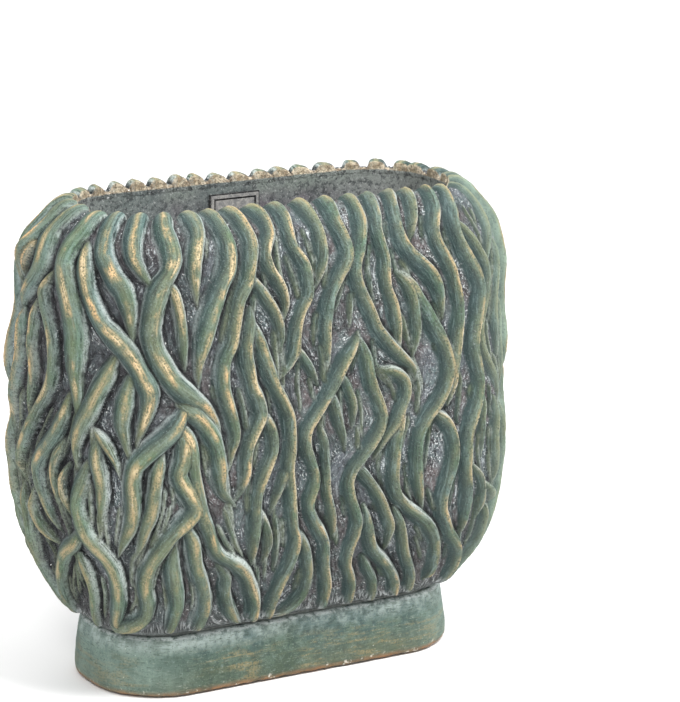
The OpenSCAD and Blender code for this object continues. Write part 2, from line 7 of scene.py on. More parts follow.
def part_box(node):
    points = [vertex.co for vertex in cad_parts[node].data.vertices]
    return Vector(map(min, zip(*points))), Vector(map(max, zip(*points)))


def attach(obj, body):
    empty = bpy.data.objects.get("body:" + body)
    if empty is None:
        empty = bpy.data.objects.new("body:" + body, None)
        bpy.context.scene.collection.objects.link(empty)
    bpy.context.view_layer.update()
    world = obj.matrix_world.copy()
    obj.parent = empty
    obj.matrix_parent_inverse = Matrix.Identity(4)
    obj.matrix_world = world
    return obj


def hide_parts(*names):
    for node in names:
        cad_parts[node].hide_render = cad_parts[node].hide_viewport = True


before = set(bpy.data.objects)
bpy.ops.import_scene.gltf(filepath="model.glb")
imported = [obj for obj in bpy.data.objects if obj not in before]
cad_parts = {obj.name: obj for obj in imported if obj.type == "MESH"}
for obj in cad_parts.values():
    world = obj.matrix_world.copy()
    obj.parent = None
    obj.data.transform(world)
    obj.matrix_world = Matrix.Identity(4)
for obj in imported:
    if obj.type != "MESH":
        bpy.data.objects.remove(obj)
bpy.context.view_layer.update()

# ------------------------------------------------------------------ strands
# [width in mm, depth of the crest in mm, [u, t] from top to foot]; u runs round
# the widest ring from the middle of the front, t runs down the profile.
FRONT = [
[13,0,[[-147,3],[-148,14],[-149,26],[-146,38],[-140,47],[-134,55]]],
[15,0,[[-172,3],[-174,14],[-175,24],[-172,36],[-166,45],[-160,53],[-153,61],[-149,71],[-147,81],[-146,91]]],
[14,0,[[-124,3],[-123,16],[-118,27],[-116,38],[-119,48],[-125,57],[-129,66],[-132,78],[-133,88],[-131,98],[-127,107],[-120,118],[-112,127],[-103,134],[-94,141],[-87,150],[-84,157]]],
[14,0,[[-191,34],[-187,46],[-182,59],[-175,73],[-167,85],[-158,93],[-149,102],[-143,110],[-138,119],[-134,128],[-135,138],[-138,148],[-141,157]]],
[9,2,[[-119,56],[-115,64],[-112,76],[-110,90],[-109,104],[-108,112]]],
[12,0,[[-88,3],[-89,12],[-92,23],[-96,34],[-99,46],[-99,58],[-98,68]]],
[14,0,[[-72,3],[-72,14],[-72,27],[-72,38],[-74,49],[-79,58],[-84,68],[-89,79],[-93,91],[-96,102],[-98,113],[-98,120]]],
[12,0,[[-57,3],[-55,18],[-54,31],[-57,46],[-61,60],[-67,70],[-70,80],[-72,90],[-74,100],[-79,110],[-81,122],[-80,132],[-77,142],[-74,152],[-72,162],[-74,172],[-75,182]]],
[11,1,[[-58,56],[-54,63],[-48,72],[-42,81],[-38,90],[-36,100],[-36,108]]],
[12,0,[[-59,82],[-61,91],[-63,101],[-63,111],[-61,121],[-59,131],[-55,141],[-53,150],[-57,159],[-62,169],[-64,180],[-64,190],[-66,199],[-69,206]]],
[13,0,[[-57,90],[-54,100],[-50,113],[-46,124],[-41,135],[-36,144],[-32,154],[-31,166],[-31,177],[-32,187],[-31,197],[-30,207],[-29,218],[-27,230],[-24,241],[-24,252],[-26,263],[-29,274],[-31,286],[-32,297],[-31,307]]],
[9,2,[[-32,185],[-35,195],[-38,204],[-41,213],[-43,220]]],
[11,0,[[-37,3],[-36,14],[-38,26],[-42,35],[-45,44],[-43,54],[-38,62],[-34,70],[-32,78],[-33,87]]],
[12,0,[[-20,3],[-21,16],[-24,28],[-24,38],[-21,46],[-17,54],[-16,64],[-16,74],[-21,83],[-24,91],[-26,101],[-27,110],[-31,120],[-36,127]]],
[9,1,[[-25,108],[-21,115],[-16,122],[-11,130],[-8,136]]],
[11,0,[[-2,3],[-2,14],[-1,26],[-1,38],[-2,49],[-4,58],[-7,67]]],
[13,0,[[16,3],[15,14],[14,24],[16,35],[17,46],[14,55],[9,62],[4,70],[0,78],[-2,88],[-3,98],[-2,109],[-1,119],[-1,126]]],
[13,0,[[37,3],[36,12],[34,24],[31,35],[27,46],[22,56],[21,65],[24,75],[29,85],[33,94],[37,103],[44,112],[51,120],[59,127],[66,133],[69,140]]],
[11,0,[[54,3],[51,12],[47,23],[44,34],[44,45],[45,56],[44,66],[45,75],[49,86],[52,99],[54,111],[56,120]]],
[14,0,[[69,3],[65,14],[62,25],[60,36],[61,46],[66,55],[74,63],[81,71],[86,80],[89,90],[91,98]]],
[9,0,[[87,3],[83,13],[78,23],[74,33],[71,43]]],
[12,0,[[111,3],[105,12],[98,21],[92,30],[88,39],[88,48],[92,58],[96,67],[99,78],[102,90],[102,102],[100,114],[98,126],[97,138],[97,150],[96,160]]],
[14,0,[[136,3],[128,11],[119,18],[112,26],[107,35],[106,44],[109,55],[115,67],[121,79],[123,89],[120,102],[116,114],[114,124],[117,136],[120,148],[119,160],[114,172],[110,184],[109,197],[110,210],[113,226],[115,240],[119,253],[123,262]]],
[10,1,[[57,68],[62,77],[66,88],[68,100],[69,112],[68,124]]],
[14,0,[[61,70],[67,82],[74,93],[80,104],[86,114],[91,125],[93,137],[90,149],[84,159],[76,168],[70,179],[68,191],[69,203],[71,214],[75,225],[78,233]]],
[13,0,[[26,112],[28,122],[30,133],[33,143],[37,152],[40,162],[38,171],[32,180],[25,189],[18,197],[15,207],[17,217],[21,227],[24,236],[23,247],[21,259],[22,270],[27,281],[32,293],[35,305]]],
[13,0,[[22,109],[17,114],[12,120],[7,128],[1,138],[-6,148],[-13,157],[-19,166],[-19,177],[-15,187],[-12,196],[-12,204],[-15,213],[-15,221],[-11,230],[-5,240],[0,250],[2,261],[5,273],[9,284],[12,296],[14,306]]],
[12,1,[[44,132],[51,135],[58,141],[59,150],[55,160],[51,169],[45,177],[41,184],[38,191]]],
[14,0,[[-160,109],[-165,119],[-171,129],[-176,139],[-182,149],[-187,159],[-189,170],[-188,181]]],
[13,1,[[-148,121],[-150,130],[-152,140],[-153,149],[-151,159],[-149,168]]],
[13,0,[[-109,140],[-114,148],[-121,156],[-130,163],[-138,170],[-144,177],[-146,187],[-146,198],[-146,209],[-148,219],[-153,230],[-156,237]]],
[14,0,[[-110,138],[-103,144],[-96,151],[-90,160],[-86,170],[-84,181],[-83,192],[-80,201],[-74,208]]],
[15,0,[[-181,183],[-185,193],[-189,206],[-187,218],[-183,228],[-176,236],[-169,243],[-164,252],[-162,263],[-163,275],[-166,287],[-171,297]]],
[14,0,[[-172,163],[-172,174],[-169,186],[-168,197],[-169,208],[-170,220]]],
[8,1,[[-172,156],[-166,161],[-161,168],[-157,176],[-155,184]]],
[11,0,[[-126,171],[-129,183],[-131,196],[-133,208],[-137,219],[-140,230],[-144,240]]],
[14,0,[[-112,153],[-110,164],[-111,174],[-114,183],[-111,191],[-106,199],[-102,208],[-107,215],[-114,221],[-121,228],[-127,236],[-133,245],[-138,256],[-139,268],[-138,280],[-140,291],[-148,298],[-158,302],[-170,305]]],
[15,0,[[-117,241],[-118,252],[-116,264],[-113,276],[-112,288],[-114,300]]],
[13,0,[[-107,222],[-103,232],[-101,243],[-98,254],[-93,266],[-89,278],[-87,290],[-88,303]]],
[13,0,[[-112,151],[-107,162],[-104,175],[-102,188],[-99,201],[-96,214],[-91,226],[-87,237],[-81,246],[-73,252],[-65,259],[-58,267],[-53,278],[-48,290],[-45,301],[-44,308]]],
[12,1,[[-79,257],[-74,265],[-73,276],[-70,287],[-65,298],[-59,307]]],
[12,0,[[-50,150],[-46,159],[-44,169],[-45,179],[-50,190],[-54,200],[-56,211],[-56,223],[-56,235],[-55,247],[-54,258]]],
[9,1,[[-52,218],[-48,228],[-45,238],[-44,249],[-45,259]]],
[10,1,[[-6,166],[-4,180],[-3,193],[-2,206],[1,219],[4,230],[7,241],[9,249]]],
[10,1,[[2,142],[4,153],[7,164],[11,174],[13,183]]],
[9,1,[[10,131],[14,141],[18,152],[19,162],[19,168]]],
[12,0,[[21,195],[27,203],[34,211],[41,222],[46,232],[51,243],[53,254],[54,264]]],
[13,0,[[31,230],[33,241],[37,253],[42,263],[49,271],[57,279],[64,288],[70,297],[74,306]]],
[11,1,[[37,270],[42,280],[49,290],[54,300],[56,308]]],
[13,0,[[58,161],[54,171],[51,183],[50,196],[50,207],[53,219],[59,227],[67,235],[77,243],[85,251],[91,260],[95,270],[98,280],[100,290]]],
[14,0,[[84,167],[91,174],[96,184],[98,196],[97,207],[94,218],[92,229],[94,241],[99,251],[106,261],[115,270],[123,280],[128,291],[132,301]]],
[12,0,[[55,233],[60,245],[65,258],[70,270],[76,281],[82,292],[86,303]]],
[13,0,[[-18,242],[-15,251],[-12,260],[-9,271],[-8,282],[-8,291],[-12,300],[-17,305]]],
[10,1,[[121,211],[128,221],[132,233],[134,244],[136,254]]],
]
LEFT = [
[26,0,[[-200,3],[-203,12],[-207,24],[-211,36],[-211,48],[-207,58],[-201,68],[-195,80],[-192,92],[-192,104],[-191,118],[-189,130],[-188,143]]],
[22,-1,[[-240,3],[-243,12],[-247,24],[-247,34],[-244,44],[-244,54],[-249,63],[-258,72],[-268,80],[-278,88]]],
[13,0,[[-228,60],[-232,70],[-229,80],[-222,91],[-216,101],[-213,111],[-214,122],[-219,133],[-227,144],[-235,153],[-243,163],[-251,174],[-258,185],[-262,196],[-257,206]]],
[12,1,[[-246,83],[-246,96],[-246,109],[-242,122],[-241,135],[-245,149],[-248,160]]],
[18,0,[[-198,140],[-202,151],[-210,162],[-220,172],[-230,181],[-236,190],[-235,201],[-230,212],[-223,223],[-215,230]]],
[14,2,[[-203,168],[-210,180],[-213,193],[-211,206],[-207,217]]],
[9,0,[[-197,183],[-201,191],[-201,201],[-197,211],[-193,219]]],
[16,0,[[-189,229],[-196,237],[-205,243],[-214,251],[-222,260],[-231,270],[-239,280],[-247,290],[-254,300]]],
[13,0,[[-193,247],[-188,256],[-186,267],[-188,278],[-193,289],[-199,300]]],
[12,1,[[-247,212],[-246,224],[-239,234],[-229,240],[-217,243]]],
[14,0,[[-262,212],[-258,225],[-257,238],[-260,250],[-266,261],[-272,272],[-276,285],[-278,300]]],
[16,-1.6,[[-268,3],[-267,15],[-264,28],[-266,40],[-272,52],[-280,62],[-287,74]]],
[9,1,[[-256,38],[-261,48],[-266,58],[-273,66]]],
[12,0,[[-270,92],[-264,104],[-262,118],[-266,132],[-272,146],[-276,160],[-275,174]]],
[14,-1.6,[[-292,3],[-290,16],[-286,30],[-288,44],[-294,58],[-298,72],[-296,86],[-290,98],[-286,112],[-288,126],[-293,140],[-296,154]]],
[13,0,[[-284,150],[-280,164],[-282,178],[-289,190],[-293,204],[-290,218],[-284,230],[-282,244]]],
]
RIGHT = [
[12,1,[[112,34],[119,43],[125,51],[131,61],[136,71],[138,83],[133,95],[127,106],[125,117],[128,128],[134,137],[143,147],[152,156],[162,166]]],
[13,0,[[160,3],[160,13],[158,25],[154,38],[149,50],[144,61],[141,71]]],
[12,1,[[141,229],[149,236],[158,243],[168,249]]],
[10,2,[[131,160],[130,172],[129,184],[130,196],[133,208]]],
[12,0,[[162,56],[160,68],[158,80],[154,92],[150,104],[149,116],[153,128],[158,140]]],
[13,0,[[150,170],[146,182],[145,195],[149,208],[156,220],[161,232]]],
[14,0,[[166,176],[162,190],[164,204],[170,216],[175,228],[177,242],[174,254],[168,266],[164,278],[166,292],[170,304]]],
[13,0,[[142,244],[146,256],[150,268],[152,280],[148,292],[144,304]]],
[12,0,[[190,250],[186,264],[184,276],[188,290],[194,302]]],
[11,1,[[168,96],[168,110],[166,124],[168,138],[172,150],[172,164]]],
]

# ------------------------------------------------------------------ surface
F1, F2, F3 = 98.8, 217.6, 254.8
HALF = F3 + (F2 - F1) + F1                      # 472.4: the back's middle
# t, strand envelope (e, z), core (e, z); e is the distance outside the mouth line
PROFILE = np.array([
    (-13, 0.9, 318.5, 0.9, 318.5), (-9, 0.2, 323, 0.3, 322.2), (-5, 0.0, 327, 0.6, 324.4),
    (0, 1.4, 330.2, 2.6, 325.4), (4.8, 5.4, 331, 6.2, 325.2), (14.5, 13.5, 327.3, 11.4, 321.4),
    (24.4, 20.8, 319.8, 16.4, 315.4), (42.9, 31.4, 305, 23.6, 301.6), (63.9, 37.3, 285, 28.4, 283.2),
    (99, 39.8, 250, 30.8, 249.5), (149, 42, 200, 33.1, 200), (199, 41.6, 150, 32.8, 151),
    (244.3, 36, 105, 27.6, 107.6), (276, 25.7, 75, 18.2, 79.6), (297.6, 15.8, 56, 9, 61.6),
    (308.4, 9.0, 46, 4.2, 51), (315.6, 4.4, 42.6, 1.2, 45.6), (322, -1.5, 41.7, -1.8, 42.6)])


def hermite(xk, yk, x):
    """Smooth curve through the knots, with no overshoot worth naming."""
    h = np.diff(xk)
    s = np.diff(yk) / h
    m = np.zeros_like(yk)
    m[1:-1] = (s[:-1] * h[1:] + s[1:] * h[:-1]) / (h[1:] + h[:-1])
    m[0], m[-1] = s[0], s[-1]
    i = np.clip(np.searchsorted(xk, x) - 1, 0, len(h) - 1)
    q = (x - xk[i]) / h[i]
    return ((2 * q**3 - 3 * q**2 + 1) * yk[i] + (q**3 - 2 * q**2 + q) * h[i] * m[i]
            + (-2 * q**3 + 3 * q**2) * yk[i + 1] + (q**3 - q**2) * h[i] * m[i + 1])


def rrect(u, hx, hy, r):
    """A rectangle hx by hy with corners r, walked in step with the ring below."""
    u = (u + HALF) % (2 * HALF) - HALF
    s = np.where(u < 0, -1.0, 1.0)
    a = np.abs(u)
    q1 = np.clip((a - F1) / (F2 - F1), 0, 1) * math.pi / 2
    q2 = np.clip((a - F3) / (F2 - F1), 0, 1) * math.pi / 2
    x = np.where(a <= F1, a / F1 * hx, hx + r * np.sin(q1))
    y = np.where(a <= F1, -hy - r, -hy - r * np.cos(q1))
    side = (a > F2) & (a <= F3)
    x = np.where(side, hx + r, x)
    y = np.where(side, -hy + (a - F2) / (F3 - F2) * 2 * hy, y)
    c2 = a > F3
    x = np.where(c2, hx + r * np.cos(q2), x)
    y = np.where(c2, hy + r * np.sin(q2), y)
    back = a > HALF - F1
    x = np.where(back, hx * (HALF - a) / F1, x)
    y = np.where(back, hy + r, y)
    return s * x, y


def ring(u, e):
    """Plan position on the rounded ring that lies e outside the mouth line."""
    A, B = 132.3 + e, 50.8 + 1.032 * e
    return rrect(u, A - 0.804 * B, 0.196 * B, 0.804 * B)


def lattice(seed, n=256):
    return np.random.RandomState(seed).rand(n, n)


def vnoise(x, y, seed):
    """Smooth value noise, about -1 to 1."""
    g = lattice(seed)
    xi, yi = np.floor(x).astype(int), np.floor(y).astype(int)
    fx, fy = x - xi, y - yi
    fx, fy = fx * fx * (3 - 2 * fx), fy * fy * (3 - 2 * fy)
    v = lambda i, j: g[(xi + i) % 256, (yi + j) % 256]
    a = v(0, 0) * (1 - fx) + v(1, 0) * fx
    b = v(0, 1) * (1 - fx) + v(1, 1) * fx
    return (a * (1 - fy) + b * fy) * 2 - 1


def dense(pts, step):
    """Catmull-Rom through the points, sampled at about step mm."""
    p = np.array(pts, float)
    p = np.vstack([2 * p[0] - p[1], p, 2 * p[-1] - p[-2]])
    out = []
    for i in range(1, len(p) - 2):
        n = max(2, int(np.hypot(*(p[i + 1] - p[i])) / step))
        q = np.linspace(0, 1, n, endpoint=False)[:, None]
        a, b, c, d = p[i - 1], p[i], p[i + 1], p[i + 2]
        out.append(0.5 * (2 * b + (c - a) * q + (2 * a - 5 * b + 4 * c - d) * q**2
                          + (3 * b - a - 3 * c + d) * q**3))
    out.append(p[-2][None])
    return np.vstack(out)


# ------------------------------------------------------------------ relief
K = 6                                            # fine cells to one coarse cell of a back face
NU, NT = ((900, 319))
US = -HALF + np.arange(NU) * (2 * HALF / NU)
T0, T1 = -13.0, 322.0
TS = np.linspace(T0, T1, NT)
H = np.zeros((NU, NT))
X = np.full((NU, NT), 2.0)          # share of the half width, signed
S = np.zeros((NU, NT))
ID = np.zeros((NU, NT))
MAIN = np.zeros((NU, NT))
WID = np.full((NU, NT), 6.0)        # that half width, mm
DU = 2 * HALF / NU
DT = TS[1] - TS[0]


def keenness(u):
    """0 where the strands are round in section, 1 where they are ridges with broad slopes."""
    um = (u + HALF / 2) % HALF - HALF / 2
    uw = (u + HALF) % (2 * HALF) - HALF
    left_end = np.clip((uw + 365) / 20, 0, 1) * np.clip((-150 - uw) / 30, 0, 1)
    return np.clip((um + 120) / 90, 0, 1) * np.clip((200 - um) / 40, 0, 1) * (1 - left_end)


def lay(path, width, height, rim, foot, ident, main, blunt=1.0, merge=0.0, spread=1.0, flat=0.0):
    """Lays one half-round strand along a path of [u, t] and keeps the higher surface."""
    P = dense(path, 1.6)
    d0 = P[0] - P[min(3, len(P) - 1)]
    d1 = P[-1] - P[-4] if len(P) > 4 else P[-1] - P[0]
    if rim:
        n = int((P[0, 1] + 13) / 1.6)
        P = np.vstack([np.c_[np.full(n, P[0, 0]), np.linspace(-13, P[0, 1], n, endpoint=False)], P])
    else:
        d0 = d0 / np.hypot(*d0)
        P = np.vstack([[P[0] + d0 * k for k in np.arange(width * 0.5, 0.1, -1.6)], P])
    d1 = d1 / np.hypot(*d1)
    ext = 14 if foot else width * 0.6
    tail = np.array([P[-1] + d1 * k for k in np.arange(1.6, ext, 1.6)])
    if foot:
        tail = tail[tail[:, 1] < 321]
    if len(tail):
        P = np.vstack([P, tail])
    L = np.r_[0, np.cumsum(np.hypot(*np.diff(P, axis=0).T))]
    tot = L[-1]
    i0 = int(np.floor((P[:, 0].min() - width - 8 + HALF) / DU))
    i1 = int(np.ceil((P[:, 0].max() + width + 8 + HALF) / DU))
    j0 = max(0, int((P[:, 1].min() - width - 8 - T0) / DT))
    j1 = min(NT, int((P[:, 1].max() + width + 8 - T0) / DT) + 1)
    iu = np.arange(i0, i1)
    u = -HALF + iu * DU
    G = np.stack(np.meshgrid(u, TS[j0:j1], indexing="ij"), -1).reshape(-1, 2)
    best = np.full(len(G), 1e9)
    bs = np.zeros(len(G))
    sg = np.ones(len(G))
    for a in range(0, len(P) - 1, 24):
        A, B = P[a:min(a + 24, len(P) - 1)], P[a + 1:min(a + 25, len(P))]
        d = B - A
        ll = (d**2).sum(1) + 1e-9
        lo, hi = np.minimum(A, B).min(0) - width - 8, np.maximum(A, B).max(0) + width + 8
        m = np.where((G[:, 0] > lo[0]) & (G[:, 0] < hi[0]) & (G[:, 1] > lo[1]) & (G[:, 1] < hi[1]))[0]
        if not len(m):
            continue
        w = G[m][:, None, :] - A[None]
        q = np.clip((w * d[None]).sum(-1) / ll, 0, 1)
        r = w - q[..., None] * d[None]
        dd = (r**2).sum(-1)
        k = dd.argmin(1)
        ar = np.arange(len(m))
        v = np.sqrt(dd[ar, k])
        better = v < best[m]
        mm = m[better]
        best[mm] = v[better]
        bs[mm] = (L[a + k] + q[ar, k] * np.sqrt(ll[k]))[better]
        cr = (d[k][:, 0] * w[ar, k][:, 1] - d[k][:, 1] * w[ar, k][:, 0])
        sg[mm] = np.where(cr > 0, -1.0, 1.0)[better]     # +: to the right of a falling strand
    s_in, s_out = bs, tot - bs
    half = width / 2 * (1 + 0.13 * vnoise(bs / 13.0, np.full_like(bs, ident * 3.7), 5))
    keen = keenness(G[:, 0])
    half = half * (1 - 0.12 * np.clip((G[:, 1] - 120) / 60, 0, 1))
    rise = np.ones_like(bs)
    if not rim:
        a = np.clip(s_in / (width * 1.5), 0, 1)
        half = half * (0.25 + 0.75 * np.sin(a * math.pi / 2))
        rise *= np.sin(a * math.pi / 2) ** 0.8
    else:
        half = half * (spread - (spread - 1) * np.clip((s_in - 20) / 40.0, 0, 1))
    if foot:
        a = np.clip(s_out / 17.0, 0, 1)
        half = half * (0.7 + 0.3 * np.sqrt(1 - (1 - a) ** 2))
        rise *= 0.30 + 0.70 * np.sqrt(np.clip(1 - (1 - a) ** 2, 0, 1))
    else:
        a = np.clip(s_out / (width * 3.0 * blunt), 0, 1)
        half = half * (0.12 + 0.88 * np.sin(a * math.pi / 2))
        rise *= np.sin(a * math.pi / 2) ** 0.7
    rise *= 1 + 0.07 * vnoise(bs / 21.0, np.full_like(bs, ident * 5.1), 6)
    # the crest lies to the right of the middle: a broad slope on its left, a steep one on its right
    blunt_end = np.clip(1 - bs / 34.0, 0, 1) if rim else np.zeros_like(bs)
    lean = (LEAN + 0.20 * keen) * (1 - 0.6 * blunt_end)
    off = sg * best - lean * half
    left = off < 0
    wid = half * np.where(left, 1 + lean, 1 - lean)
    xs = off / wid
    x = np.abs(xs)
    two = lambda a, b: a + (b - a) * keen
    dome = np.clip(1 - np.clip(x, 0, 1) ** (np.where(left, 2.0, two(2.6, 1.75)) + (1.3 + flat) * blunt_end), 0, 1)
    dome **= np.where(left, 0.72, two(0.60, 0.82)) - 0.2 * blunt_end
    # the broad slope of a ridge runs out softly
    soft_side = 0.5 + 0.5 * np.cos(np.clip(x / 1.25, 0, 1) * math.pi)
    dome = np.where(left, dome + (soft_side - dome) * keen * (1 - blunt_end), dome)
    reach = np.where(left, np.minimum(2.2, 1 + 10 / wid), two(1.6, 1.8))
    share = np.where(left, two(0.22, 0.40), two(0.11, 0.28)) + merge * blunt_end
    h = height * rise * ((1 - share) * dome + share * np.clip(1 - x / reach, 0, 1) ** 1.2)
    gi = np.mod(np.repeat(iu, j1 - j0), NU)
    gj = np.tile(np.arange(j0, j1), len(iu))
    out = np.maximum(best - half, 0)
    near = (out < 12) & (h <= 0) & (H[gi, gj] <= 0) & (np.abs(X[gi, gj]) > x)
    a, b = gi[near], gj[near]
    X[a, b] = xs[near]
    WID[a, b] = wid[near]
    S[a, b] = bs[near]
    ID[a, b] = ident
    up = h > H[gi, gj]
    a, b = gi[up], gj[up]
    H[a, b] = h[up]
    X[a, b] = xs[up]
    WID[a, b] = wid[up]
    S[a, b] = bs[up]
    ID[a, b] = ident
    MAIN[a, b] = main
    return P


LEAN = 0.30                                      # the crest's place, as a share of the half width
FLOOR = 0.05                                     # level of the grooves' floor
flow_n = (int(2 * HALF / 6) + 1, int((T1 - T0) / 6) + 1)
flow = np.zeros(flow_n + (2,))
rs = np.random.RandomState(11)
ident = 0
# where the far rim's strands start, by where their twins on the near rim do
FAR = {87: 90, 69: 74, 54: 57, 37: 39, 16: 26, -2: 8, -20: -10, -37: -29, -57: -46,
       -72: -63, -88: -85, -124: -113, -147: -145, -172: -178}
AT_NEAR = {-172: -174, -124: -120, -88: -96, -72: -80, -57: -64, -37: -47, -20: -28, -2: -8, 16: 14,
           37: 34, 54: 50, 69: 68, 87: 82, 111: 99, 136: 121}
strands = []
for group, turn in ((FRONT, 0), (LEFT, 0), (RIGHT, 0), (FRONT, 1), (LEFT, 1), (RIGHT, 1)):
    for w, low, pts in group:
        p = np.array(pts, float)
        if group is FRONT and p[0, 1] < 8:
            move = (FAR if turn else AT_NEAR).get(int(p[0, 0]), p[0, 0]) - p[0, 0]
            p[:, 0] += move * np.clip(1 - p[:, 1] / (60 if turn else 24), 0, 1)
        if turn:
            p[:, 0] += HALF
            # the far side isn't an exact twin: its strands wander a little
            p[1:-1, 0] += rs.uniform(-2.0, 2.0, len(p) - 2)
        wear = 0.30 if group is RIGHT else rs.uniform(0.70, 1.0)
        if group is FRONT and p[-1, 1] - p[0, 1] < 75:
            wear *= 0.68
        if group is RIGHT and not turn:
            low = low + (3.2 if p[:, 1].mean() < 200 else 0.8)
        if group is FRONT:
            w = w * (1 + 0.24 * (1 - float(keenness(p[:, 0]).mean())))
        strands.append((p, w, low, turn, wear))
tops = np.sort(np.mod([q[0][0, 0] for q in strands if q[0][0, 1] < 8], 2 * HALF))
tops = np.r_[tops[-1] - 2 * HALF, tops, tops[0] + 2 * HALF]
for p, w, low, turn, wear in strands:
        ident += 1
        rim_ = p[0, 1] < 8
        k = int(np.argmin(np.abs(tops[1:-1] - p[0, 0] % (2 * HALF)))) + 1
        spread = float(np.clip((0.80 if turn else 0.86) * (tops[k + 1] - tops[k - 1]) / 2 / w, 1.0, 1.25 if turn else 1.5)) if rim_ else 1.0
        P = lay(p, w, 1.0 - low / 11.0, rim_, p[-1, 1] > 285, ident, wear, merge=0.0 if turn else 0.22, spread=spread, flat=3.0 * turn)
        q = P[::3]
        if len(q) < 2:
            continue
        d = np.gradient(q, axis=0)
        d /= np.hypot(d[:, 0], d[:, 1])[:, None] + 1e-9
        for (uu, tt), dd in zip(q, d):
            ci, cj = (uu + HALF) / 6, (tt - T0) / 6
            I, J = np.meshgrid(np.arange(int(ci) - 4, int(ci) + 6), np.arange(int(cj) - 4, int(cj) + 6), indexing="ij")
            g = np.exp(-((I - ci) ** 2 + (J - cj) ** 2) / 5.0)
            ok = (J >= 0) & (J < flow_n[1])
            np.add.at(flow, (np.mod(I[ok], flow_n[0] - 1), J[ok]), g[ok][:, None] * dd[None])
flow /= np.linalg.norm(flow, axis=-1, keepdims=True) + 1e-9
# thin, low strands that fill the grooves between the big ones
for gu in np.arange(-HALF, HALF, 11.0):
    for gt in np.arange(34, 300, 25.0):
        su, st = gu + rs.uniform(-5, 5), gt + rs.uniform(-12, 12)
        ln, wd, hh = rs.uniform(30, 60), rs.uniform(3.6, 6.4), rs.uniform(0.22, 0.44)
        i, j = int((su + HALF) / DU) % NU, int(np.clip((st - T0) / DT, 0, NT - 1))
        if H[i, j] > 0.45 or (keenness(np.array(su)) < 0.25 and st < 150):
            continue
        path = []
        for sgn in (-1, 1):
            c = np.array([su, st])
            half_path = []
            for k in range(int(ln / 2 / 5)):
                d = flow[int((c[0] + HALF) / 6) % (flow_n[0] - 1), int(np.clip((c[1] - T0) / 6, 0, flow_n[1] - 1))]
                c = c + sgn * 5 * d
                if 22 < c[1] < 310:
                    half_path.append(c.copy())
            path = half_path[::-1] + [np.array([su, st])] + path if sgn < 0 else path + half_path
        if len(path) >= 4:
            ident += 1
            lay(path, wd, hh, False, False, ident, 0.25, 1.3)

UU, TT = np.meshgrid(US, TS, indexing="ij")
bare = ID == 0
lat = np.where(bare, UU, X * 6.0)
S = np.where(bare, TT, S)
# hand-made unevenness: long soft waves, tool marks along the flow, and grit
fine = vnoise(lat * 1.15 + ID * 7.3, S * 0.10 + ID * 3.1, 21)
fine2 = vnoise(lat * 2.6 + ID * 1.7, S * 0.22, 22)
grit = vnoise(UU * 0.55, TT * 0.55, 23)
grit2 = vnoise(UU * 0.95 + 9, TT * 0.95 + 4, 24)
soft = vnoise(UU / 19.0, TT / 19.0, 25)
valley = np.clip(1 - H / 0.30, 0, 1)
fade = np.clip((TT - T0) / 6.0, 0, 1) * np.clip((T1 - TT) / 4.0, 0, 1)
mm = 0.0
mm = mm + 0.30 * soft * fade
mm = mm + (0.16 + 0.50 * valley) * fine * fade
mm = mm + (0.08 + 0.20 * valley) * fine2 * fade
mm = mm + 0.10 * grit * fade + 0.07 * grit2 * fade
# pits where the cast surface is broken
pits = np.clip(vnoise(UU / 2.3, TT / 2.3, 31) - 0.80, 0, 1) * 4 * np.clip(vnoise(UU / 30, TT / 30, 32) + 0.2, 0, 1)
mm = mm - pits * 0.9 * fade

tk = PROFILE[:, 0]
ee, ez, be, bz = [hermite(tk, PROFILE[:, k], TT) for k in (1, 2, 3, 4)]
flush = np.clip((-1.6 - TT) / 3.4, 0, 1)
around = lambda c: np.exp(-(((UU - c + HALF) % (2 * HALF) - HALF) / 55) ** 2)
bulge = around(-272) * np.clip((TT - 50) / 60, 0, 1) * np.clip((292 - TT) / 55, 0, 1)
knob = np.exp(-((UU + 264) / 17) ** 2 - ((TT - 47) / 15) ** 2)
ee, be = ee + 3.4 * bulge + 4.5 * knob, be + 2.2 * bulge + 2.0 * knob
for cu, ct, wu, wt, by in ((-290, 94, 30, 22, -4.0), (-288, 164, 24, 10, -2.6),
                           (174, 104, 34, 24, -1.6), (172, 172, 34, 16, -0.8), (166, 262, 36, 36, 3.0)):
    dent = by * np.exp(-((UU - cu) / wu) ** 2 - ((TT - ct) / wt) ** 2)
    ee, be = ee + dent, be + 0.6 * dent
# the near side's rim stands a little higher
raise_ = 1.7 * np.clip((UU + 200) / 40, 0, 1) * np.clip((150 - UU) / 40, 0, 1) * np.exp(-(TT / 16.0) ** 2) * np.clip((TT + 7) / 6, 0, 1)
raise_ = raise_ + 1.6 * np.clip((-345 - UU) / 30, 0, 1) * np.clip((UU + HALF) / 25, 0, 1) * np.exp(-(TT / 16.0) ** 2) * np.clip((TT + 7) / 6, 0, 1)
ez = ez + raise_
depth = np.hypot(ee - be, ez - bz) + 1e-6
level = (FLOOR + (1 - FLOOR) * (np.clip(H, 0, 1.25) * (1 - flush) + 0.12 * flush)) * fade + mm / np.maximum(depth, 3.0)
E3 = be + (ee - be) * level
Z3 = bz + (ez - bz) * level
px, py = ring(UU, E3)
co = np.stack([px, py, Z3], -1) * 0.001
nan = ~np.isfinite(co)
co[nan] = 0


def vertex_normals(c):
    du = np.roll(c, -1, 0) - np.roll(c, 1, 0)
    dt = np.empty_like(c)
    dt[:, 1:-1] = c[:, 2:] - c[:, :-2]
    dt[:, 0] = c[:, 1] - c[:, 0]
    dt[:, -1] = c[:, -1] - c[:, -2]
    n = np.cross(dt, du)
    return n / (np.linalg.norm(n, axis=-1, keepdims=True) + 1e-12)


NORM = vertex_normals(co)


